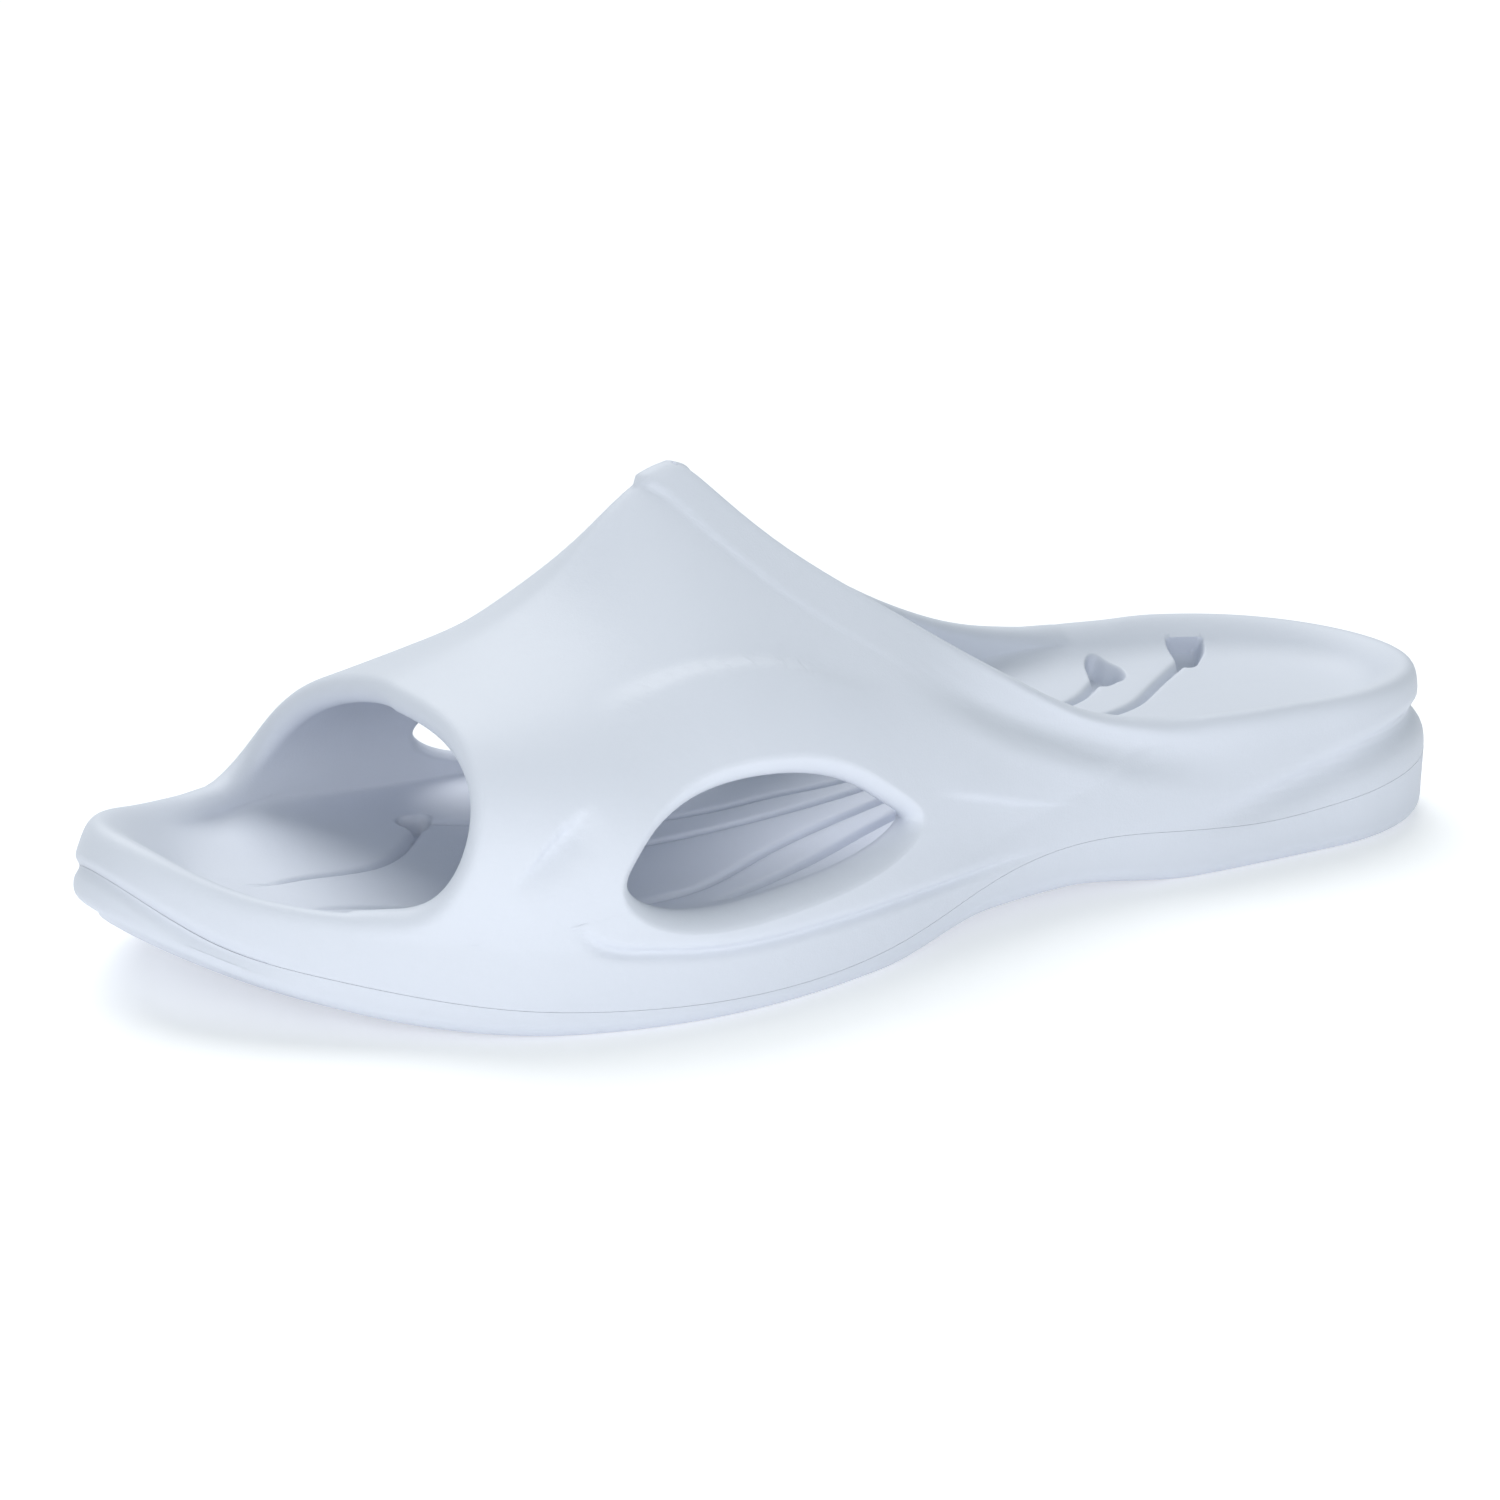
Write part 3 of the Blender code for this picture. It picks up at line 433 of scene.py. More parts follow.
    def strap_place(self, along: Numbers, girth: float, side: Side) -> Numbers:
        """Place x on the strap.

        Args:
            along: share from the throat to the toe opening.
            girth: 0 at the side wall to 1 at the ridge.
            side: which flank.

        Returns:
            The places.
        """
        throat_at, toe_at = self.curves["throat", side], self.curves["toe", side]
        row = np.sqrt(girth)
        throat, toe = throat_at(row), toe_at(row)
        turn = np.arccos(1 - 2 * throat_at(0.0)) * (1 - along) + np.arccos(1 - 2 * toe_at(0.0)) * along
        foot = ((1 - np.cos(turn)) / 2 - throat_at(0.0)) / (toe_at(0.0) - throat_at(0.0))
        share = foot * (1 - row) + along * row
        return self.length * (throat + (toe - throat) * share)

    def throat_edge(self, side: Side, count: int = 160) -> tuple[Numbers, Numbers]:
        """The strap's edge at the throat.

        Args:
            side: which flank.
            count: how many points.

        Returns:
            The girths from the foot to the ridge, and the points there.
        """
        girth = np.linspace(0, 1, count)
        x = self.length * self.curves["throat", side](np.sqrt(girth))
        return girth, self.strap_outer(x, girth, side)

    def window_middle(self, side: Side) -> tuple[float, float]:
        """x and z of the middle of a window."""
        place, above = self.window_places[0 if side is Side.LATERAL else 1]
        flare_up = float(self.edge_height(place, side)) + above
        return self.length * place, flare_up + self.window_flare + self.window_height / 2

    def window_loop(self, around: Numbers, side: Side, grow: float, sill: float) -> Numbers:
        """Window outline on the strap.

        Args:
            around: (x, girth) pairs of the frame of net points around the window.
            side: which flank.
            grow: how much wider than the clear opening.
            sill: how much higher the sill stands.

        Returns:
            (x, girth) pairs, one for each point of the frame.
        """
        cx, cz = self.window_middle(side)
        table, half = np.array(WINDOW), np.array([self.window_length / 2, self.window_height / 2])
        knots = table * half + unit(table * half[::-1]) * grow
        knots[:, 1] += sill * np.clip(-table[:, 1], 0, 1)
        angles = np.unwrap(np.arctan2(knots[:, 1] / half[1], knots[:, 0] / half[0]))
        reach = np.hypot(knots[:, 0] / half[0], knots[:, 1] / half[1])
        turns = np.concatenate([angles - 2 * np.pi, angles, angles + 2 * np.pi])
        reach_at = Curve(list(zip(turns, np.tile(reach, 3))), 1)
        frame_z = self.strap_outer(around[:, 0], around[:, 1], side)[:, 2]
        way = np.arctan2((frame_z - cz) / half[1], (around[:, 0] - cx) / half[0])
        way = np.mod(way - angles[0], 2 * np.pi) + angles[0]
        x = cx + reach_at(way) * np.cos(way) * half[0]
        z = cz + reach_at(way) * np.sin(way) * half[1]
        highest_girth, halvings = 0.8, 30
        low, high = np.zeros_like(x), np.full_like(x, highest_girth)
        for _ in range(halvings):
            mid = (low + high) / 2
            over = self.strap_outer(x, mid, side)[:, 2] > z
            low, high = np.where(over, low, mid), np.where(over, mid, high)
        return np.stack([x, (low + high) / 2], -1)

    def box_middle(self) -> Numbers:
        """The point of the form frame that is the part's origin."""
        samples = 2001
        s = np.linspace(0, 1, samples)
        left, right = self.outline(s, 1, 0)[1].max(), self.outline(s, -1, 0)[1].min()
        return np.array([self.length / 2, (left + right) / 2, 0.0])


class MouldLine:
    """A smooth line drawn through knots on a plane, to measure distances from."""

    def __init__(self, knots: Numbers, step: float = 0.0007) -> None:
        """Draw the line.

        Args:
            knots: two-column array of points, metres.
            step: distance between the line's own points.
        """
        run = np.concatenate([[0.0], np.cumsum(np.linalg.norm(np.diff(knots, axis=0), axis=1))])
        count = max(int(run[-1] / step), 8)
        at = np.linspace(0, run[-1], count)
        across = [Curve(list(zip(run, knots[:, axis])), 1)(at) for axis in (0, 1)]
        self.points = np.stack(across, -1)
        self.ways = unit(np.gradient(self.points, axis=0))
        self.shares = at / run[-1]

    def measure(self, spots: Numbers) -> tuple[Numbers, Numbers]:
        """Signed distance from the line.

        Args:
            spots: two-column array of points.

        Returns:
            The distance, positive on the left of the line as it runs, and the share of the line.
        """
        batch = 8000
        off, share = np.empty(len(spots)), np.empty(len(spots))
        for start in range(0, len(spots), batch):
            part = spots[start:start + batch]
            gaps = part[:, None, :] - self.points[None, :, :]
            near = np.argmin((gaps ** 2).sum(-1), axis=1)
            gap, way = gaps[np.arange(len(part)), near], self.ways[near]
            cross = way[:, 0] * gap[:, 1] - way[:, 1] * gap[:, 0]
            off[start:start + batch] = np.hypot(gap[:, 0], gap[:, 1]) * np.where(cross >= 0, 1, -1)
            share[start:start + batch] = self.shares[near]
        return off, share


@dataclass(frozen=True)
class Crease:
    """A soft trough or ledge along a line on the slide.

    Knots are shares: of the length and the ridge's height on the side, or of the length and half the
    ball's width on the footbed and the underside.  Heights and widths are in metres.
    """

    knots: Rows
    kind: Kind
    height: float
    width: float
    reach: float = 0.006
    raised_left: bool = True
    fade_in: float = 0.15
    fade_out: float = 0.15
    medial_shift: float = -0.060
    sides: tuple[Side, ...] = (Side.LATERAL, Side.MEDIAL)

    def line(self, across: float, length: float, shift: float) -> MouldLine:
        """The line in metres, moved along the slide by a share of the length."""
        knots = np.array(self.knots, float)
        return MouldLine(np.stack([(knots[:, 0] + shift) * length, knots[:, 1] * across], -1))

    def depth(self, off: Numbers, share: Numbers) -> Numbers:
        """How far the foam is moved out.

        Args:
            off: signed distance from the line.
            share: share of the line.

        Returns:
            The moves, metres.
        """
        fade = ease(share / max(self.fade_in, 1e-6)) * ease((1 - share) / max(self.fade_out, 1e-6))
        if self.kind is Kind.TROUGH:
            return self.height * np.exp(-(off / self.width) ** 2) * fade
        rise = off if self.raised_left else -off
        past_end = (share <= 0) | (share >= 1)
        step = ease(rise / self.width + 0.5) * np.exp(-(np.maximum(rise, 0) / self.reach) ** 2)
        return self.height * step * fade * np.where(past_end, 0, 1)


@dataclass(frozen=True)
class Dimple:
    """A rounded three-cornered hollow in the footbed.

    It is stretched along its axis, an angle from the slide's length, and its corners are turned from it.
    Its wall is given as a share of its size.
    """

    place: float
    across: float
    size: float
    depth: float
    turn: float
    corner: float = 0.13
    stretch: float = 1.9
    axis: float = 0.94
    wall: float = 0.32

    def polar(self, x: Numbers, y: Numbers) -> tuple[Numbers, Numbers]:
        """Angle and distance of points given from the middle, with the stretch taken out."""
        along = (x * np.cos(self.axis) + y * np.sin(self.axis)) / self.stretch
        aside = y * np.cos(self.axis) - x * np.sin(self.axis)
        return np.arctan2(aside, along), np.hypot(along, aside)

    def sink(self, x: Numbers, y: Numbers) -> Numbers:
        """Depth of the hollow at points given from its middle."""
        way, far = self.polar(x, y)
        edge = self.size * (1 + self.corner * np.cos(3 * (way - self.turn)))
        return self.depth * ease((edge - far) / (self.wall * self.size))


# Lines on the sides of the mould
SIDE_CREASES: tuple[Crease, ...] = (
    # ledge below the throat's edge, running back to the heel
    Crease(((0.536, 0.590), (0.516, 0.564), (0.466, 0.495), (0.442, 0.452), (0.405, 0.395), (0.354, 0.328),
            (0.311, 0.283), (0.264, 0.249), (0.220, 0.222)),
           Kind.LEDGE, -0.0027, 0.0075, 0.0110, False, 0.30, 0.45),
    # arc over the window
    Crease(((0.752, 0.612), (0.737, 0.631), (0.704, 0.653), (0.676, 0.674), (0.649, 0.679), (0.619, 0.670),
            (0.576, 0.627), (0.528, 0.583)),
           Kind.LEDGE, 0.0020, 0.0030, 0.012, True, 0.30, 0.35),
    # short crease between the toe opening and the window
    Crease(((0.771, 0.488), (0.777, 0.475), (0.796, 0.429), (0.812, 0.375), (0.829, 0.309)),
           Kind.LEDGE, -0.0015, 0.0016, 0.0042, False, 0.40, 0.50),
    # ledge under the window, hooked round its low front corner
    Crease(((0.786, 0.279), (0.788, 0.251), (0.784, 0.218), (0.774, 0.194), (0.748, 0.177), (0.705, 0.163),
            (0.655, 0.159), (0.591, 0.159), (0.518, 0.155), (0.445, 0.152), (0.388, 0.152)),
           Kind.LEDGE, 0.0009, 0.0012, 0.0060, False, 0.28, 0.30),
    # fine groove in that ledge's foot
    Crease(((0.786, 0.272), (0.788, 0.247), (0.784, 0.214), (0.774, 0.190), (0.748, 0.173), (0.705, 0.159),
            (0.655, 0.155), (0.591, 0.155), (0.518, 0.151), (0.445, 0.148), (0.388, 0.148)),
           Kind.TROUGH, -0.0008, 0.0011, fade_in=0.08, fade_out=0.35),
    # short ledge behind the window, on the outer side only
    Crease(((0.516, 0.361), (0.495, 0.340), (0.466, 0.311), (0.425, 0.270), (0.365, 0.229)),
           Kind.LEDGE, 0.0006, 0.0014, 0.0060, False, 0.35, 0.50, sides=(Side.LATERAL,)),
)

# Grooves of the footbed
BED_GROOVES: tuple[Crease, ...] = tuple(
    Crease(knots, Kind.TROUGH, -0.0019, 0.00082, fade_in=fade_in, fade_out=fade_out, medial_shift=0.0)
    for knots, fade_in, fade_out in (
        (((0.205, -0.300), (0.222, -0.240), (0.251, -0.125), (0.316, 0.000), (0.404, 0.070), (0.487, 0.073),
          (0.527, 0.013), (0.569, -0.018), (0.632, -0.124), (0.684, -0.294), (0.731, -0.476)), 0.0, 0.0),
        (((0.731, -0.490), (0.759, -0.331), (0.787, -0.194), (0.814, -0.122), (0.839, -0.108),
          (0.867, -0.094), (0.890, -0.058), (0.912, -0.060)), 0.0, 0.40),
        (((0.124, -0.340), (0.157, -0.230), (0.195, -0.090), (0.236, 0.057), (0.316, 0.165), (0.404, 0.205),
          (0.474, 0.198), (0.537, 0.177), (0.591, 0.148), (0.640, 0.115), (0.695, 0.047), (0.744, 0.000)),
         0.0, 0.12),
        (((0.351, 0.246), (0.421, 0.290), (0.489, 0.335), (0.552, 0.395), (0.612, 0.506), (0.662, 0.610),
          (0.719, 0.605), (0.779, 0.470), (0.828, 0.310), (0.874, 0.205), (0.915, 0.270)), 0.12, 0.20),
        (((0.365, 0.322), (0.393, 0.341), (0.456, 0.417), (0.524, 0.516), (0.568, 0.605), (0.624, 0.711),
          (0.675, 0.770)), 0.15, 0.12),
    ))
BED_DIMPLES: tuple[Dimple, ...] = (
    Dimple(0.206, -0.300, 0.0040, 0.0044, -0.35),
    Dimple(0.122, -0.370, 0.0039, 0.0044, 0.0),
    Dimple(0.737, -0.490, 0.0031, 0.0040, 0.4, stretch=1.5),
)


@dataclass(frozen=True)
class ThroatBand:
    """Proud rolled band along the strap's edge at the throat, widest and softest low down."""

    table: Rows = (
        # girth, width, height
        (0.00, 0.0090, 0.0000),
        (0.45, 0.0090, 0.0000),
        (0.60, 0.0085, 0.0004),
        (0.75, 0.0070, 0.0008),
        (0.90, 0.0056, 0.0010),
        (1.00, 0.0048, 0.0011),
    )
    softness: float = 0.0016
    lowest: float = 0.035
    farthest: float = 0.72
    batch: int = 4000

    def depth(self, form: SlideForm, spots: Numbers, side: Side) -> Numbers:
        """How far the foam is moved out.

        Args:
            form: the slide's surfaces.
            spots: points of the outer skin.
            side: which flank.

        Returns:
            The moves, metres.
        """
        girth, edge = form.throat_edge(side)
        moves = np.zeros(len(spots))
        knots, widths, heights = np.array(self.table, float).T
        near = np.nonzero((spots[:, 2] > self.lowest) & (spots[:, 0] < self.farthest * form.length))[0]
        for start in range(0, len(near), self.batch):
            pick = near[start:start + self.batch]
            gaps = np.linalg.norm(spots[pick][:, None, :] - edge[None], axis=2)
            best = np.argmin(gaps, axis=1)
            off, at = gaps[np.arange(len(pick)), best], girth[best]
            width, height = np.interp(at, knots, widths), np.interp(at, knots, heights)
            moves[pick] = height * ease((width - off) / self.softness + 0.5)
        return moves


class Net:
    """A mesh in the making: points, faces, and how much of each relief a point takes."""

    def __init__(self) -> None:
        """Start with nothing."""
        self.points = np.zeros((0, 3))
        self.zones = np.zeros((0, 2))
        self.faces = np.zeros((0, 4), int)

    def add(self, points: Numbers, outer: float | Numbers = 0.0, bed: float | Numbers = 0.0) -> Numbers:
        """Keep points.

        Args:
            points: array of any shape with x, y and z along the last axis.
            outer: how much of the outer skin's relief they take.
            bed: how much of the footbed's or the underside's relief they take.

        Returns:
            Their numbers, in the array's shape.
        """
        shape = points.shape[:-1]
        zones = np.stack([np.broadcast_to(outer, shape), np.broadcast_to(bed, shape)], -1)
        first = len(self.points)
        self.points = np.concatenate([self.points, points.reshape(-1, 3)])
        self.zones = np.concatenate([self.zones, zones.reshape(-1, 2)])
        return np.arange(first, len(self.points)).reshape(shape)

    def skin(self, rows: Sequence[Numbers], closed: bool = False, flip: bool = False) -> None:
        """Four-cornered faces between rows of point numbers.

        Args:
            rows: the rows, all as long as each other.
            closed: whether each row closes on itself.
            flip: whether the faces turn the other way.
        """
        for low, high in zip(rows[:-1], rows[1:]):
            if closed:
                ring = np.stack([low, np.roll(low, -1), np.roll(high, -1), high], -1)
            else:
                ring = np.stack([low[:-1], low[1:], high[1:], high[:-1]], -1)
            self.faces = np.concatenate([self.faces, ring[:, ::-1] if flip else ring])

    def normals(self) -> Numbers:
        """Direction of the surface at each point, from the faces made so far."""
        a, b, c, d = [self.points[self.faces[:, k]] for k in range(4)]
        area = np.cross(b - a, c - a) + np.cross(c - a, d - a)
        total = np.zeros_like(self.points)
        for k in range(4):
            np.add.at(total, self.faces[:, k], area)
        return unit(total)

    def behind(self) -> Numbers:
        """For each point, the middle of the faces that meet there."""
        centres = self.points[self.faces].mean(1)
        total, count = np.zeros_like(self.points), np.zeros((len(self.points), 1))
        for k in range(4):
            np.add.at(total, self.faces[:, k], centres)
            np.add.at(count, self.faces[:, k], 1)
        return total / np.maximum(count, 1)

    def edge_ways(self, loop: Numbers) -> Numbers:
        """Directions in which the surface runs off beyond a loop of its points."""
        here = self.points[loop]
        along = unit(np.roll(here, -1, 0) - np.roll(here, 1, 0))
        way = unit(np.cross(along, self.normals()[loop]))
        return way * np.sign(np.sum(way * (here - self.behind()[loop])))

    def curve_edge(self, outer: Numbers, inner: Numbers, poles: tuple[Numbers, Numbers], steps: int) -> None:
        """Strip between two closed loops, along cubic curves.

        Args:
            outer: point numbers along the outer skin.
            inner: point numbers along the inner skin.
            poles: the curves' two middle poles at every point of the loops.
            steps: rows between the loops.
        """
        start, end = self.points[outer], self.points[inner]
        rows = [outer]
        for t in np.arange(1, steps + 1) / (steps + 1):
            w = cubic(t)
            row = w[0] * start + w[1] * poles[0] + w[2] * poles[1] + w[3] * end
            rows.append(self.add(row, outer=float(ease(1 - t))))
        self.skin(rows + [inner], closed=True)

    def round_edge(self, outer: Numbers, inner: Numbers, steps: int, reach: float) -> None:
        """Half-round strip between two closed loops that lie side by side.

        Args:
            outer: point numbers along the outer skin.
            inner: point numbers along the inner skin.
            steps: rows between them.
            reach: how far the strip stands out, as a share of its width.
        """
        ways = self.edge_ways(outer), self.edge_ways(inner)
        start, end = self.points[outer], self.points[inner]
        gap = np.linalg.norm(end - start, axis=1, keepdims=True) * reach
        self.curve_edge(outer, inner, (start + ways[0] * gap, end + ways[1] * gap), steps)

    def bevel_edge(self, outer: Numbers, inner: Numbers, steps: int, reach: float, lip: float) -> None:
        """Strip between two closed loops: a flat bevel from the outer one, then a tight round.

        Args:
            outer: point numbers along the outer skin.
            inner: point numbers along the inner skin.
            steps: rows between them.
            reach: how far the lip stands out beyond the loops, metres.
            lip: share of the wall's thickness at which the lip stands.
        """
        ways = self.edge_ways(outer), self.edge_ways(inner)
        start, end = self.points[outer], self.points[inner]
        way = unit(ways[0] + ways[1])
        knee = start * (1 - lip) + end * lip + way * reach
        # how much of its loop, of the knee and of the lip's reach each pole takes
        mixes = (start, 0.35, 0.65, 0.25), (end, 0.45, 0.55, 0.35)
        first, last = [loop * own + knee * shared + way * reach * lift for loop, own, shared, lift in mixes]
        self.curve_edge(outer, inner, (first, last), steps)

    def shell(self) -> bmesh.types.BMesh:
        """The net as an editable mesh, with its zones kept on the points."""
        bm = bmesh.new()
        layers = [bm.verts.layers.float.new(name) for name in ("outer", "bed")]
        corners = []
        for point, zone in zip(self.points.tolist(), self.zones.tolist()):
            corner = bm.verts.new(point)
            for layer, value in zip(layers, zone):
                corner[layer] = value
            corners.append(corner)
        for face in self.faces.tolist():
            ring = [p for k, p in enumerate(face) if p != face[k - 1]]
            if len(set(ring)) > 2:
                bm.faces.new([corners[p] for p in ring])
        bmesh.ops.delete(bm, geom=[v for v in bm.verts if not v.link_faces], context="VERTS")
        bmesh.ops.recalc_face_normals(bm, faces=bm.faces)
        return bm


class Shell:
    """A net made editable, refined near its sharp lines and moved by its relief."""

    def __init__(self, net: Net) -> None:
        """Take over a net."""
        self.bm = net.shell()

    def read(self) -> tuple[Numbers, Numbers, Numbers]:
        """Points, normals and zones of the mesh as it stands."""
        self.bm.normal_update()
        layers = [self.bm.verts.layers.float[name] for name in ("outer", "bed")]
        points = np.array([v.co[:] for v in self.bm.verts])
        normals = np.array([v.normal[:] for v in self.bm.verts])
        zones = np.array([[v[layer] for layer in layers] for v in self.bm.verts])
        return points, normals, zones

    def refine(self, near: Callable[[Numbers, Numbers], Numbers]) -> None:
        """Halve the faces near sharp lines.

        Args:
            near: from points and zones, which points lie near a line.
        """
        points, _, zones = self.read()
        wanted = near(points, zones)
        self.bm.verts.index_update()
        touched = [face for face in self.bm.faces if any(wanted[v.index] for v in face.verts)]
        edges = sorted({edge for face in touched for edge in face.edges},
                       key=lambda edge: (edge.verts[0].index, edge.verts[1].index))
        bmesh.ops.subdivide_edges(self.bm, edges=edges, cuts=1, use_grid_fill=True)
        wide = [face for face in self.bm.faces if len(face.verts) > 4]
        bmesh.ops.triangulate(self.bm, faces=wide)

    def move(self, relief: Callable[[Numbers, Numbers], Numbers]) -> None:
        """Move every point along its normal.

        Args:
            relief: from points and zones, how far each point moves out.
        """
        points, normals, zones = self.read()
        moved = points + normals * relief(points, zones)[:, None]
        for v, place in zip(self.bm.verts, moved.tolist()):
            v.co = place

    def piece(self, name: str, shift: Numbers, sharp: float) -> bpy.types.Object:
        """Make the object.

        Args:
            name: name of the piece.
            shift: the point of the form frame that becomes the origin.
            sharp: angle in degrees above which an edge shows hard.

        Returns:
            The object, smooth-shaded.
        """
        mesh = bpy.data.meshes.new(name)
        bmesh.ops.translate(self.bm, vec=Vector((-shift).tolist()), verts=self.bm.verts)
        self.bm.to_mesh(mesh)
        self.bm.free()
        mesh.shade_smooth()
        mesh.set_sharp_from_angle(angle=float(np.radians(sharp)))
        thing = bpy.data.objects.new(name, mesh)
        bpy.context.scene.collection.objects.link(thing)
        return thing


@dataclass(frozen=True)
class Columns:
    """Where the net's columns stand round the slide, the same for both mouldings."""

    form: SlideForm
    heel_steps: int
    strap_steps: int
    toe_steps: int

    @property
    def count(self) -> int:
        """Columns from heel end to toe end on one side."""
        return self.heel_steps + self.strap_steps + self.toe_steps

    @property
    def strap_to(self) -> int:
        """Column at which the strap ends."""
        return self.heel_steps + self.strap_steps

    def places(self, side: Side) -> Numbers:
        """Shares of the length at which one side's columns stand."""
        throat, toe = [float(self.form.curves[name, side](0.0)) for name in ("throat", "toe")]
        ends = [0.0, np.arccos(1 - 2 * throat), np.arccos(1 - 2 * toe), np.pi]
        counts = self.heel_steps, self.strap_steps, self.toe_steps
        turns = [np.linspace(a, b, count, endpoint=False) for a, b, count in zip(ends[:-1], ends[1:], counts)]
        return (1 - np.cos(np.concatenate(turns + [[np.pi]]))) / 2

    def ring(self) -> tuple[Numbers, Numbers]:
        """For every column of the closed ring, its share of the length and the sign of its side."""
        lateral, medial = self.places(Side.LATERAL), self.places(Side.MEDIAL)
        signs = np.concatenate([np.ones(self.count + 1), -np.ones(self.count - 1)])
        return np.concatenate([lateral, medial[-2:0:-1]]), signs

    def middle(self) -> tuple[Numbers, Numbers]:
        """Share of the length and y of the middle line that the columns of both sides run to."""
        s = (self.places(Side.LATERAL) + self.places(Side.MEDIAL)) / 2
        s = 0.5 + (s - 0.5) * self.form.middle_share
        return s, self.form.half_ball * self.form.curves["shift"](s)

    def pair(self) -> Numbers:
        """For every column of the ring, its number on the middle line."""
        return np.concatenate([np.arange(self.count + 1), np.arange(self.count - 1, 0, -1)])

    def strap_feet(self) -> Skins:
        """Columns of the ring that the strap stands on, from the throat to the toe opening, by side."""
        strap = np.arange(self.heel_steps, self.strap_to + 1)
        return {Side.LATERAL: strap, Side.MEDIAL: 2 * self.count - strap}

    def face(self, net: Net, edge: Numbers, height: Callable[[Numbers], Numbers], steps: int,
             bed: float = 0.0) -> list[Numbers]:
        """Rows of points from a closed edge in to the middle line.

        Args:
            net: the net.
            edge: point numbers of the edge.
            height: height against the share of the length.
            steps: steps from the edge to the middle.
            bed: how much of the underside's relief the rows take.

        Returns:
            The rows, without the edge.
        """
        pair, length = self.pair(), self.form.length
        mid_s, mid_y = self.middle()
        centre = np.stack([mid_s * length, mid_y, height(mid_s)], -1)
        start, rows = net.points[edge], []
        for k in range(1, steps):
            row = start + (centre[pair] - start) * k / steps
            row[:, 2] = height(row[:, 0] / length)
            rows.append(net.add(row, bed=bed))
        return rows + [net.add(centre, bed=bed)[pair]]


class Wire:
    """A value on its way through a shader, worked on with ordinary operators."""

    def __init__(self, board: "Board", socket: bpy.types.NodeSocket) -> None:
        """Take an output socket of a board's node."""
        self.board = board
        self.socket = socket

    def _math(self, operation: str, other: "Wire | float") -> "Wire":
        """One Math node."""
        return self.board.node("ShaderNodeMath", {"operation": operation}, {0: self, 1: other})

    def __add__(self, other: "Wire | float") -> "Wire":
        """Sum."""
        return self._math("ADD", other)

    def __sub__(self, other: "Wire | float") -> "Wire":
        """Difference."""
        return self._math("SUBTRACT", other)

    def __mul__(self, other: "Wire | float") -> "Wire":
        """Product."""
        return self._math("MULTIPLY", other)


@dataclass(frozen=True)
class Grain:
    """A noise pattern: its size in metres, how much detail it has and how rough that is."""

    size: float
    detail: float
    rough: float


class Board:
    """The node board of one material, with its patterns laid out in the piece's own metres."""

    def __init__(self, name: str) -> None:
        """Start a material with its shader."""
        self.material = bpy.data.materials.new(name)
        self.material.use_nodes = True
        self.tree = self.material.node_tree
        self.shader = self.tree.nodes["Principled BSDF"]
        self.where = self.node("ShaderNodeTexCoord", {}, {}, "Object")

    def feed(self, target: bpy.types.NodeSocket, value: "Wire | float | Sequence[float]") -> None:
        """Give a socket a link or a plain value."""
        if isinstance(value, Wire):
            self.tree.links.new(value.socket, target)
        else:
            target.default_value = value

    def node(self, kind: str, settings: dict[str, object],
             inputs: dict[int | str, "Wire | float | Sequence[float]"], out: int | str = 0) -> Wire:
        """Add any node.

        Args:
            kind: type name of the node.
            settings: its own settings, made first.
            inputs: values or links for its sockets, by number or name.
            out: the output that is wanted.

        Returns:
            That output.
        """
        node = self.tree.nodes.new(kind)
        for key, value in settings.items():
            setattr(node, key, value)
        for key, value in inputs.items():
            self.feed(node.inputs[key], value)
        return Wire(self, node.outputs[out])

    def noise(self, grain: Grain) -> Wire:
        """Noise of a grain."""
        return self.node("ShaderNodeTexNoise", {}, {"Vector": self.where, "Scale": 1 / grain.size,
                                                    "Detail": grain.detail, "Roughness": grain.rough}, "Fac")

    def set(self, **inputs: "Wire | float | Sequence[float]") -> None:
        """Set inputs of the shader; an underscore in a name stands for a space."""
        for key, value in inputs.items():
            self.feed(self.shader.inputs[key.replace("_", " ")], value)


@dataclass(frozen=True)
class FoamFinish:
    """Moulded closed-cell foam: a dull skin with fine pores and a faint cloudiness."""

    name: str
    colour: tuple[float, float, float]
    shade: tuple[float, float, float]
    roughness: float = 0.56
    pore_roughness: float = 0.10
    cloud_roughness: float = 0.08
    clouds: Grain = Grain(0.035, 3.0, 0.55)
    pores: Grain = Grain(0.00045, 4.0, 0.62)
    pore_depth: float = 0.000035
    swells: Grain = Grain(0.0035, 2.0, 0.5)
    swell_depth: float = 0.00006
    cloud_shade: float = 0.6
    pore_shade: float = 0.25
    least_shade: float = 0.02

    def material(self) -> bpy.types.Material:
        """Build the material."""
        board = Board(self.name)
        clouds, swells, pores = [board.noise(grain) for grain in (self.clouds, self.swells, self.pores)]
        shaded = clouds * self.cloud_shade + pores * self.pore_shade - self.least_shade
        colour = board.node("ShaderNodeMix", {"data_type": "RGBA"},
                            {"Factor": shaded, 6: (*self.colour, 1.0), 7: (*self.shade, 1.0)}, 2)
        height = pores * self.pore_depth + swells * self.swell_depth
        bump = board.node("ShaderNodeBump", {}, {"Strength": 1.0, "Distance": 1.0, "Height": height},
                          "Normal")
        even = 0.5
        rough = (pores - even) * self.pore_roughness + (clouds - even) * self.cloud_roughness + self.roughness
        board.set(Base_Color=colour, Roughness=rough, Normal=bump, Metallic=0.0, IOR=1.46)
        return board.material


